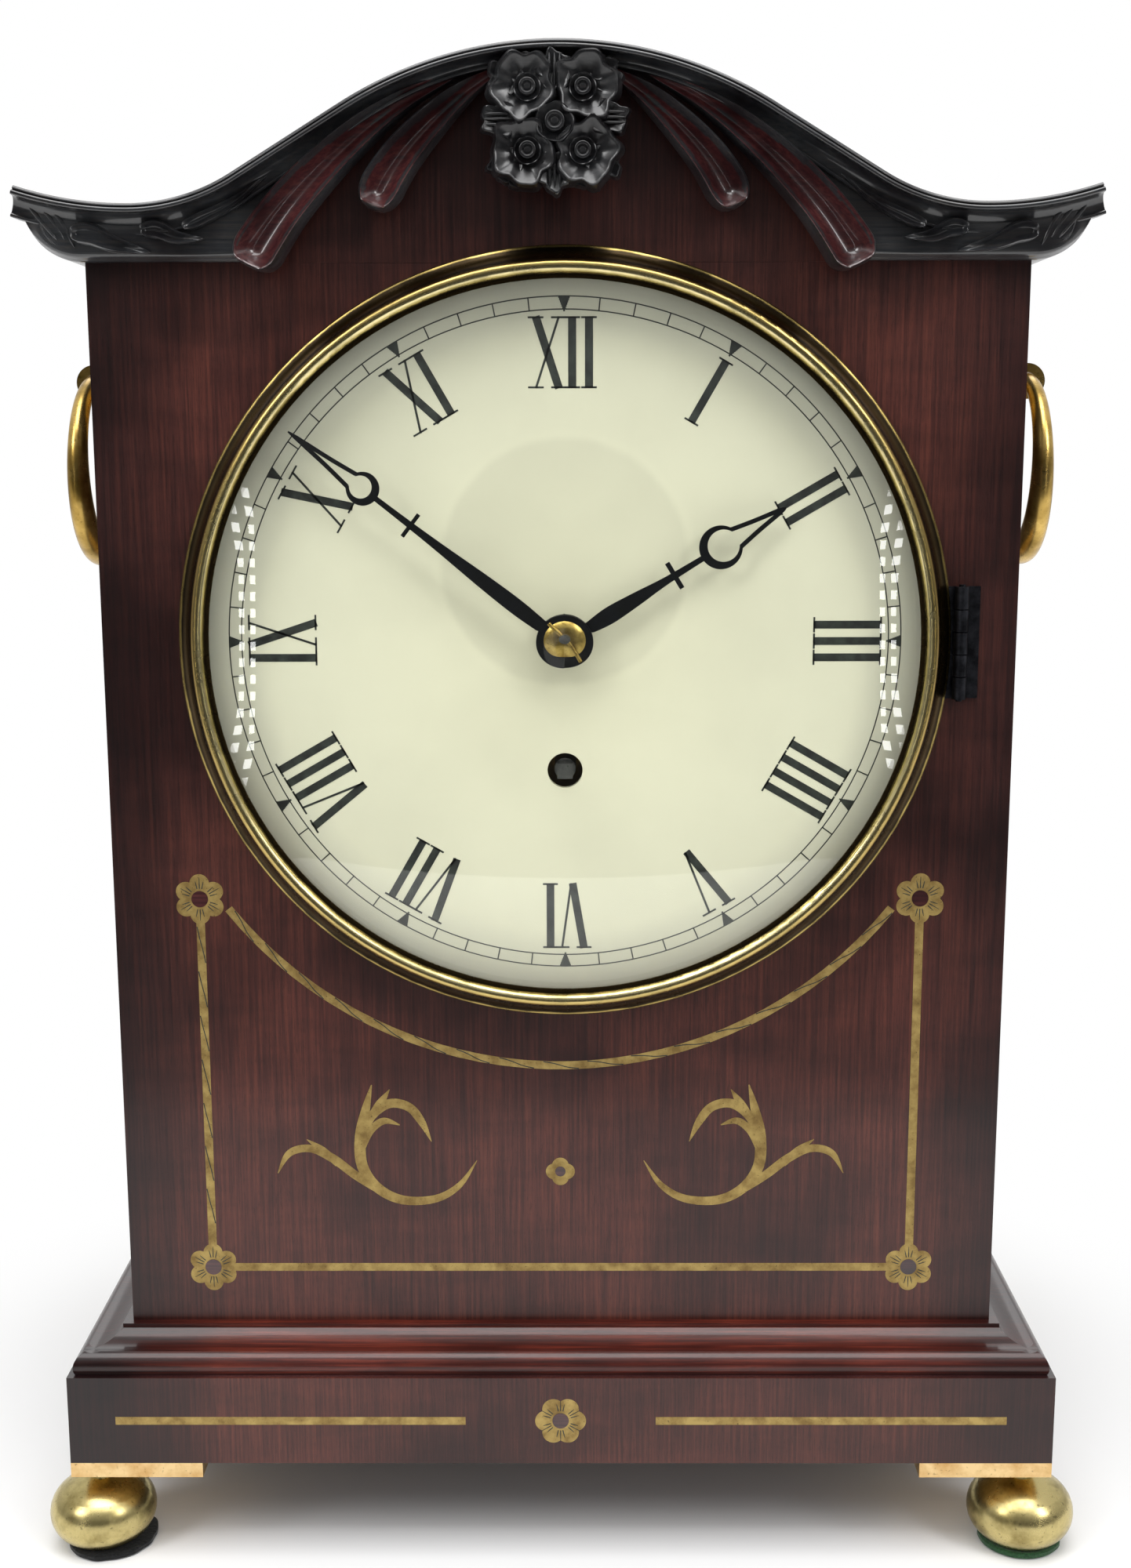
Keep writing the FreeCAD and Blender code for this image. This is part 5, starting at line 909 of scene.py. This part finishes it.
# Strokes and serifs: across in millimetres, up as a share of the half height
letters = {
    "I": {"wide": 4.5, "strokes": [(0, -1, 0, 1, "thick")], "serifs": [(0, 1), (0, -1)]},
    "V": {"wide": 8.4, "strokes": [(-3.0, 1, 0.2, -1, "thick"), (3.2, 1, 0.6, -1, "thin")],
          "serifs": [(-3.0, 1), (3.2, 1)]},
    "X": {"wide": 8.8, "strokes": [(-3.1, 1, 3.1, -1, "thick"), (3.1, 1, -3.1, -1, "thin")],
          "serifs": [(-3.1, 1), (3.1, 1), (-3.1, -1), (3.1, -1)]},
}
hours = ["XII", "I", "II", "III", "IIII", "V", "VI", "VII", "VIII", "IX", "X", "XI"]


def dialBar(across0, up0, across1, up1, width, hourAngle):
    # one painted stroke, placed on the dial by its angle from twelve
    look = markings
    mid = look["middle"] + (up0 + up1) / 2
    across = (across0 + across1) / 2
    x = mid * math.sin(hourAngle) + across * math.cos(hourAngle)
    z = mid * math.cos(hourAngle) - across * math.sin(hourAngle)
    lean = math.atan2(across1 - across0, up1 - up0)
    long = math.hypot(across1 - across0, up1 - up0)
    bpy.ops.mesh.primitive_cube_add(
        size=1, location=((case["dialX"] + x) * mm, (case["dialFace"] - look["raise"] / 2) * mm,
                          (case["dialZ"] + z) * mm),
        rotation=(0, hourAngle + lean, 0), scale=(width * mm, look["raise"] * mm, long * mm))


def addRing(radius):
    bpy.ops.mesh.primitive_torus_add(
        major_radius=radius * mm, minor_radius=markings["line"] / 2 * mm, major_segments=192,
        minor_segments=6, rotation=(math.pi / 2, 0, 0),
        location=(case["dialX"] * mm, case["dialFace"] * mm, case["dialZ"] * mm))


def makeMarkings():
    look = markings
    deselectAll()
    addRing(look["innerRing"])
    piece = takeNew("dialMarkings")
    bpy.ops.object.transform_apply(location=True, rotation=True, scale=True)
    bpy.ops.object.mode_set(mode="EDIT")
    addRing(look["outerRing"])
    low, high = look["innerRing"] - look["middle"], look["outerRing"] - look["middle"]
    for minute in range(60):
        angle = math.radians(6 * minute)
        if minute % 5:
            dialBar(0, low, 0, high, look["line"], angle)
        else:
            for step in range(look["wedgeSteps"]):
                width = look["wedgeFoot"] + look["wedgeSpread"] * step / (look["wedgeSteps"] - 1)
                start = low + look["wedgeStep"] * step - look["wedgeBelow"]
                dialBar(0, start, 0, start + look["wedgeStep"], width, angle)
    half = look["half"]
    for number, word in enumerate(hours):
        angle = math.radians(30 * number)
        total = sum(letters[letter]["wide"] for letter in word)
        left = -total / 2
        for letter in word:
            shape = letters[letter]
            middle = left + shape["wide"] / 2
            for across0, up0, across1, up1, kind in shape["strokes"]:
                dialBar(middle + across0, up0 * half, middle + across1, up1 * half, look[kind], angle)
            for across, up in shape["serifs"]:
                level = up * (half - look["serif"] / 2)
                dialBar(middle + across - look["serifHalf"], level,
                        middle + across + look["serifHalf"], level,
                        look["serif"], angle)
            left += shape["wide"]
    bpy.ops.object.mode_set(mode="OBJECT")
    for point in piece.data.vertices:       # the rings are pressed flat on the dial
        point.co.y = max(point.co.y, (case["dialFace"] - look["raise"]) * mm)
        point.co.y = min(point.co.y, (case["dialFace"] + 0.02) * mm)
    dress(piece, dialWax, smooth=30)


makeMarkings()
print("dial marked")


scrollStrokes = [
    {"line": [(-53.9, 138.0), (-55.6, 131.0), (-57.4, 122.5), (-57.0, 113.5), (-52.6, 106.8),
              (-45.4, 103.2), (-36.0, 103.6), (-29.0, 107.8), (-24.0, 115.2)],
     "width": [0.3, 2.4, 3.2, 3.2, 3.0, 2.7, 2.3, 1.7, 0.2]},
    {"line": [(-45.5, 102.9), (-51.5, 105.8), (-58.8, 110.6), (-65.5, 115.9), (-72.0, 118.9),
              (-78.0, 117.4), (-81.4, 111.4)],
     "width": [0.8, 2.1, 2.5, 2.6, 2.3, 2.0, 0.2]},
    {"line": [(-64.0, 114.2), (-68.4, 118.4), (-72.8, 121.6)], "width": [2.0, 2.1, 0.2]},
    {"line": [(-56.6, 121.5), (-54.2, 128.4), (-49.0, 132.4), (-43.4, 131.4), (-39.8, 127.0),
              (-37.0, 121.0)],
     "width": [1.2, 2.5, 2.7, 2.6, 2.2, 0.2]},
    {"line": [(-53.8, 129.0), (-51.4, 132.6), (-48.8, 136.6)], "width": [2.2, 2.4, 0.2]},
    {"line": [(-56.8, 118.5), (-54.4, 124.2), (-50.6, 127.2), (-46.0, 126.0)],
     "width": [1.2, 2.0, 2.0, 0.3]},
]


def flatStroke(points, widths, side, front, columns=40, thick=0.12):
    # a thin flat ribbon of changing width, let into the face
    rows = ((-1, front), (1, front), (1, front + thick), (-1, front + thick), (-1, front))

    def strokeSpot(u, v):
        (x, z), run = runAt(points, u)
        edge, y = rows[round(v * 4)]
        half = max(alongPoints([(w,) for w in widths], u)[0], 0.12) / 2 * edge
        return side * (x - run.y * half), y, z + run.x * half

    piece = shapedGrid("stroke", columns, 4, strokeSpot)
    capEnds(piece)
    return piece


def makeScrolls():
    pieces = [flatStroke(look["line"], look["width"], side, case["front"] - 0.03 - 0.012 * number)
              for number, look in enumerate(scrollStrokes) for side in (-1, 1)]
    dress(joinPieces(pieces, "scrollInlay"), inlayBrass)


inlay = {
    "flowerX": 101.0, "lowFlower": 82.6, "highFlower": 192.6, "plinthFlower": 43.0,
    "quatrefoil": 111.9, "centre": 2.35, "smallCentre": 1.5,
    "cut": 0.26, "petals": 6, "cutFrom": 3.0, "cutBend": 4.2, "longCut": 6.2, "shortCut": 5.2,
    "cutFan": 0.22,
    "festoonSag": 46.0, "festoonStart": 8.0, "festoonFall": 2.8,
    "ribbonTurns": 17, "ribbon": (-1.05, -0.5, 0.5, 1.05),
    "stringTurns": 7, "stringStep": 13, "stringStart": 8,
    "stringRibbon": ((-1.05, 0), (-0.4, 3.5), (0.4, 7.0), (1.05, 10.5)),
}


def makeFlowerCentres():
    look = inlay
    spots = [(x, z, case["front"], look["centre"]) for x in (-look["flowerX"], look["flowerX"])
             for z in (look["lowFlower"], look["highFlower"])]
    spots += [(0, look["quatrefoil"], case["front"], look["smallCentre"]),
              (0, look["plinthFlower"], case["plinthFront"], look["centre"])]
    discs, cuts = [], []
    for x, z, face, radius in spots:
        deselectAll()
        bpy.ops.mesh.primitive_cylinder_add(vertices=40, radius=radius * mm, depth=0.16 * mm,
                                            location=(x * mm, face * mm, z * mm),
                                            rotation=(math.pi / 2, 0, 0))
        discs.append(takeNew("disc"))
        if radius < look["centre"]:
            continue
        for petal in range(look["petals"]):
            for fan in (-look["cutFan"], 0.0, look["cutFan"]):
                angle = math.radians(30 + 60 * petal) + fan
                far = look["longCut"] if fan == 0 else look["shortCut"]
                line = [(x + r * math.cos(angle), z + r * math.sin(angle))
                        for r in (look["cutFrom"], look["cutBend"], far)]
                cuts.append(flatStroke(line, [look["cut"], look["cut"], 0.1], 1, face - 0.04, 4))
    dress(joinPieces(discs, "flowerCentres"), scoopMahogany)
    return cuts


def makeRibbonCuts():
    # the engraver's twisted ribbon on the festoon and the left string
    look = inlay
    span = look["flowerX"] - look["festoonStart"]
    sag = look["festoonSag"]
    radius = (span * span + sag * sag) / (sag * 2)
    centreZ = look["highFlower"] - look["festoonFall"] - sag + radius
    reach = math.asin(span / radius)
    turns = look["ribbonTurns"]
    lines = []
    for number in range(turns):
        start = -reach + 2 * reach * (number + 0.12) / turns
        end = -reach + 2 * reach * (number + 0.92) / turns
        line = []
        for step, offset in enumerate(look["ribbon"]):
            angle = start + (end - start) * step / 3
            line.append(((radius + offset) * math.sin(angle), centreZ - (radius + offset) * math.cos(angle)))
        lines.append(line)
    for number in range(look["stringTurns"]):
        top = look["highFlower"] - look["stringStart"] - look["stringStep"] * number
        lines.append([(-look["flowerX"] + across, top - drop) for across, drop in look["stringRibbon"]])
    widths = [0.3, look["cut"], look["cut"], 0.3]
    return [flatStroke(line, widths, 1, case["front"] - 0.04, 8) for line in lines]


# Lengths along the hand and widths, in millimetres from the dial's middle
hands = {
    "minute_hand": {"body": "minute_arbor", "angle": 307.7, "long": 93.0, "hub": 7.8, "bore": 2.65,
                    "blade": [(0, 6.9), (0, 16), (0, 27), (0, 42), (0, 53), (0, 64.4)],
                    "widths": [3.4, 4.3, 3.9, 2.5, 1.8, 1.4],
                    "bar": 52.3, "barHalf": 3.7, "barThick": 1.1, "ring": 68.3, "outer": 4.5,
                    "inner": 3.05, "shift": 0.75, "join": 87.4, "prong": 1.15},
    "hour_hand": {"body": "hour_pipe", "angle": 58.6, "long": 70.0, "hub": 7.8, "bore": 3.95,
                  "blade": [(0, 6.9), (0, 14), (0, 22), (0, 30), (0, 35), (0, 44.2)],
                  "widths": [3.0, 4.6, 3.8, 2.4, 1.9, 1.5],
                  "bar": 35.0, "barHalf": 4.0, "barThick": 1.35, "ring": 49.6, "outer": 5.9,
                  "inner": 4.35, "shift": 0.85, "join": 68.0, "prong": 1.2},
}


def arcPlate(name, place, outer, inner, shift, gap, front, thick, columns=72):
    # flat ring whose hole is moved up by shift, open over gap radians at its top
    rows = ((0, front), (1, front), (1, front + thick), (0, front + thick), (0, front))

    def plateSpot(u, v):
        angle = gap / 2 + (2 * math.pi - gap) * u
        share, y = rows[round(v * 4)]
        a = (inner + (outer - inner) * share) * math.sin(angle)
        b = (inner + (outer - inner) * share) * math.cos(angle) + shift * (1 - share)
        return a, y, place + b

    plate = shapedGrid(name, columns, 4, plateSpot)
    if gap:
        capEnds(plate)
    return plate


def makeHand(node):
    look = hands[node]
    low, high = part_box(node)
    front, thick = low[1] / mm, (high[1] - low[1]) / mm
    thin = thick - 0.06
    half = math.radians(29)         # half the opening of the ring, where the two prongs start
    foot = (look["outer"] * math.sin(half) * 0.93, look["ring"] + look["outer"] * math.cos(half) * 0.93)
    pieces = [
        arcPlate("hub", 0, look["hub"], look["bore"], 0, 0, front, thick),
        flatStroke(look["blade"], look["widths"], 1, front + 0.01, 48, thin),
        flatStroke([(-look["barHalf"], look["bar"]), (0, look["bar"]), (look["barHalf"], look["bar"])],
                   [look["barThick"]] * 3, 1, front + 0.02, 8, thin),
        arcPlate("ring", look["ring"], look["outer"], look["inner"], look["shift"], 2 * half, front + 0.03,
                 thin),
        flatStroke([(0, look["join"] - 1.2), (0, (look["join"] + look["long"]) / 2), (0, look["long"])],
                   [look["prong"] * 1.7, look["prong"] * 1.1, 0.4], 1, front + 0.02, 12, thin),
    ]
    for side in (-1, 1):
        middle = (foot[0] * 0.52, (foot[1] + look["join"]) / 2)
        pieces.append(flatStroke([foot, middle, (0.35, look["join"])], [look["prong"]] * 3, side,
                                 front + 0.04, 12, thin))
    hand = joinPieces(pieces, node.replace("_h", "H"))
    turn = Matrix.Rotation(math.radians(look["angle"]), 4, "Y")
    hand.data.transform(Matrix.Translation((case["dialX"] * mm, 0, case["dialZ"] * mm)) @ turn)
    dress(hand, blackHands, body=look["body"], instead=[node], smooth=30)


for node in hands:
    makeHand(node)
print("hands made")

makeScrolls()
engraving = makeFlowerCentres() + makeRibbonCuts()
dress(joinPieces(engraving, "inlayEngraving"), dialWax)
print("inlay done")


feet = {"x": 135.0, "y": 85.0, "high": 1.78, "baize": 11.9, "felt": 13.0, "feltShift": 2.2}


def makePad(name, x, y, radius, rough):
    # a disc cut by hand: its edge wanders by the share that rough gives
    high = feet["high"]
    waves = [(random.uniform(0, 6.28), count) for count in (3, 5, 9, 14)]
    section = ((0.0, 0.02), (0.97, 0.02), (1.0, 0.3), (1.0, high - 0.35), (0.96, high), (0.0, high))

    def padSpot(u, v):
        angle = 2 * math.pi * u
        ragged = 1 + rough * sum(math.sin(count * angle + turn) / count ** 0.6 for turn, count in waves)
        share, z = section[round(v * 5)]
        reach = radius * ragged * share
        return x + reach * math.cos(angle), y + reach * math.sin(angle), z

    return shapedGrid(name, 120, 5, padSpot)


baize = [makePad("baizePad", side * feet["x"], back * feet["y"], feet["baize"], 0.012)
         for side, back in ((1, -1), (1, 1), (-1, 1))]
dress(joinPieces(baize, "baizePads"), greenBaize, instead=["baize_pads"])
felt = makePad("feltPad", -feet["x"] + feet["feltShift"], -feet["y"], feet["felt"], 0.03)
dress(felt, blackFelt, instead=["felt_pad"])

silk = {"pleats": 26, "fold": 0.28, "stand": 0.5, "thick": 0.15}


def makeSilk(side):
    # silk stretched behind each fret, gathered into fine upright pleats
    low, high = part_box("fret_silk")
    wide = (high[1] - low[1]) / mm
    foot, top = low[2] / mm, high[2] / mm
    x = (high[0] if side > 0 else low[0]) / mm

    def silkSpot(u, v):
        fold = silk["fold"] * math.sin(2 * math.pi * silk["pleats"] * u)
        return x - side * (silk["stand"] + fold), low[1] / mm + wide * u, foot + (top - foot) * v

    piece = shapedGrid("silkPanel", silk["pleats"] * 8, 8, silkSpot)
    piece.name = "silkRight" if side > 0 else "silkLeft"
    solid = piece.modifiers.new("cloth", "SOLIDIFY")
    solid.thickness = silk["thick"] * mm
    useOnly(piece)
    bpy.ops.object.modifier_apply(modifier="cloth")
    dress(piece, redSilk, instead=["fret_silk"] if side > 0 else ())


for side in (-1, 1):
    makeSilk(side)


def makeGut():
    # straight run of twisted gut from the barrel to the fusee
    look = {"start": (-48.1, -30.0, 224.5), "end": (-6.33, -30.0, 244.87), "radius": 0.78, "twists": 14}
    start, end = Vector(look["start"]), Vector(look["end"])
    run = (end - start).normalized()
    up = run.cross(Vector((0, 1, 0)))

    def gutSpot(u, v):
        angle = 2 * math.pi * v
        radius = look["radius"] * (1 - 0.06 * (1 + math.cos(3 * angle - 2 * math.pi * look["twists"] * u)))
        around = Vector((0, 1, 0)) * math.cos(angle) + up * math.sin(angle)
        return start + (end - start) * u + around * radius

    piece = shapedGrid("gutLine", 160, 18, gutSpot)
    capEnds(piece)
    dress(piece, gut, instead=["fusee_line"], smooth=60)


makeGut()
print("cloth done")


table = {"size": (12, 8), "place": (0, 3.55, -0.0002), "shadow": (0.165, 0.13), "clearFrom": 1.02,
         "clearAt": 1.7}


def makeStage():
    # white table that ends in front of the clock, so the glass keeps its dark view of the room;
    # away from the clock's shadow the camera sees it as plain white
    look = table
    bpy.ops.mesh.primitive_plane_add(size=1)
    floor = takeNew("studioFloor")
    floor.data.transform(Matrix.Translation(look["place"]) @ Matrix.Diagonal((*look["size"], 1, 1)))
    material = bpy.data.materials.new("whiteTable")
    material.use_nodes = True
    tree = material.node_tree
    shader = tree.nodes["Principled BSDF"]
    shader.inputs["Base Color"].default_value = hexColour("#ececec")
    shader.inputs["Roughness"].default_value = 0.6
    shader.inputs["Specular IOR Level"].default_value = 0.2
    white = addNode(tree, "Emission", {"Strength": 1.0})
    place = addNode(tree, "TexCoord").outputs["Object"]
    wide, deep = look["shadow"]
    near = addNode(tree, "VectorMath", {"operation": "MULTIPLY", 1: (1 / wide, 1 / deep, 0)}, {0: place})
    far = addNode(tree, "VectorMath", {"operation": "LENGTH"}, {0: near})
    clear = addNode(tree, "MapRange", {"From Min": look["clearFrom"], "From Max": look["clearAt"],
                                       "interpolation_type": "SMOOTHSTEP"},
                    {"Value": far.outputs["Value"]})
    path = addNode(tree, "LightPath")
    seen = addNode(tree, "Math", {"operation": "MAXIMUM"},
                   {0: path.outputs["Is Camera Ray"], 1: path.outputs["Is Transmission Ray"]})
    share = addNode(tree, "Math", {"operation": "MULTIPLY"}, {0: seen, 1: clear})
    mixed = addNode(tree, "MixShader", None, {0: share, 1: shader, 2: white})
    plug(tree, tree.nodes["Material Output"], {"Surface": mixed})
    floor.data.materials.append(material)


room = {
    "slope": (0, 0.55, 0.85), "dimFrom": -0.40, "brightAt": 0.75, "dim": 0.05, "bright": 0.85,
    "rows": (0.518, 0.535), "half": 0.004, "reach": 0.50,   # rows of lamps, by how far to the side they lie
    "count": 230, "glint": 9.0,
}


def makeWorld():
    # white behind and above the clock, a dim room in front of it, and two rows of small lamps
    look = room
    world = bpy.data.worlds.new("studio")
    bpy.context.scene.world = world
    world.use_nodes = True
    tree = world.node_tree
    background = tree.nodes["Background"]
    background.inputs["Color"].default_value = (1, 1, 1, 1)
    path = addNode(tree, "LightPath")
    ahead = addNode(tree, "TexCoord").outputs["Generated"]
    rise = addNode(tree, "VectorMath", {"operation": "DOT_PRODUCT", 1: look["slope"]}, {0: ahead})
    dim = addNode(tree, "MapRange", {"From Min": look["dimFrom"], "From Max": look["brightAt"],
                                     "To Min": look["dim"], "To Max": look["bright"]},
                  {"Value": rise.outputs["Value"]})
    axes = addNode(tree, "SeparateXYZ", None, {"Vector": ahead})
    side = addNode(tree, "Math", {"operation": "ABSOLUTE"}, {0: axes.outputs["X"]})
    near, wide = [addNode(tree, "Math", {"operation": "COMPARE", 1: row, 2: look["half"]}, {0: side})
                  for row in look["rows"]]
    rows = addNode(tree, "Math", {"operation": "ADD"}, {0: near, 1: wide})
    wave = addNode(tree, "Math", {"operation": "MULTIPLY", 1: look["count"]}, {0: axes.outputs["Z"]})
    dots = addNode(tree, "Math", {"operation": "SINE"}, {0: wave})
    lit = addNode(tree, "Math", {"operation": "GREATER_THAN", 1: -0.1}, {0: dots})
    level = addNode(tree, "Math", {"operation": "COMPARE", 1: 0.0, 2: look["reach"]},
                    {0: axes.outputs["Z"]})
    front = addNode(tree, "Math", {"operation": "LESS_THAN", 1: 0.0}, {0: axes.outputs["Y"]})
    first = addNode(tree, "Math", {"operation": "MULTIPLY"}, {0: rows, 1: lit})
    second = addNode(tree, "Math", {"operation": "MULTIPLY"}, {0: level, 1: front})
    glints = addNode(tree, "Math", {"operation": "MULTIPLY"}, {0: first, 1: second})
    strong = addNode(tree, "Math", {"operation": "MULTIPLY_ADD", 1: look["glint"]}, {0: glints, 2: dim})
    seen = addNode(tree, "Math", {"operation": "MAXIMUM"},
                   {0: path.outputs["Is Camera Ray"], 1: path.outputs["Is Transmission Ray"]})
    plain = addNode(tree, "Math", {"operation": "MULTIPLY_ADD", 1: 0.5, 2: 0.5}, {0: seen})
    strength = addNode(tree, "Mix", {"data_type": "FLOAT"},
                       {0: path.outputs["Is Glossy Ray"], 2: plain,
                        3: strong})
    plug(tree, background, {"Strength": strength})


def makeLamp(name, look):
    lamp = bpy.data.lights.new(name, "AREA")
    lamp.shape = "RECTANGLE"
    lamp.size, lamp.size_y = look["size"]
    lamp.energy = look["power"]
    holder = bpy.data.objects.new(name, lamp)
    bpy.context.scene.collection.objects.link(holder)
    holder.location = look["place"]
    aim = Vector(look["aim"]) - Vector(look["place"])
    holder.rotation_euler = aim.to_track_quat("-Z", "Y").to_euler()


lamps = {
    "overheadBox": {"size": (1.6, 1.2), "power": 30, "place": (0.0, -0.5, 1.9), "aim": (0, 0, 0.25)},
    "leftBox": {"size": (0.5, 0.8), "power": 11, "place": (-1.3, -1.1, 1.4), "aim": (0, 0, 0.2)},
    "rightBox": {"size": (0.5, 0.8), "power": 11, "place": (1.3, -1.1, 1.4), "aim": (0, 0, 0.2)},
    "backBox": {"size": (1.4, 1.0), "power": 8, "place": (0.0, 1.6, 1.4), "aim": (0, 0, 0.2)},
}


def makeCamera():
    look = {"place": (0.00414, -0.5926, 0.3175), "focal": 2394.5, "frame": 2000, "down": 10.195,
            "turn": -0.27, "roll": -0.126}
    camera = bpy.data.cameras.new("photographCamera")
    camera.sensor_width = 36
    camera.lens = look["focal"] / look["frame"] * camera.sensor_width
    camera.clip_start, camera.clip_end = 0.02, 60
    holder = bpy.data.objects.new("photographCamera", camera)
    bpy.context.scene.collection.objects.link(holder)
    down, turn, roll = (math.radians(look[key]) for key in ("down", "turn", "roll"))
    ahead = Vector((math.sin(turn) * math.cos(down), math.cos(turn) * math.cos(down), -math.sin(down)))
    level = Vector((math.cos(turn), -math.sin(turn), 0))
    above = level.cross(ahead)
    right = level * math.cos(roll) + above * math.sin(roll)
    up = above * math.cos(roll) - level * math.sin(roll)
    turned = Matrix((right, up, -ahead)).transposed().to_4x4()
    holder.matrix_world = Matrix.Translation(look["place"]) @ turned
    bpy.context.scene.camera = holder


makeStage()
makeWorld()
for name, look in lamps.items():
    makeLamp(name, look)
makeCamera()
bpy.context.scene.view_settings.view_transform = "Standard"
print("studio ready")
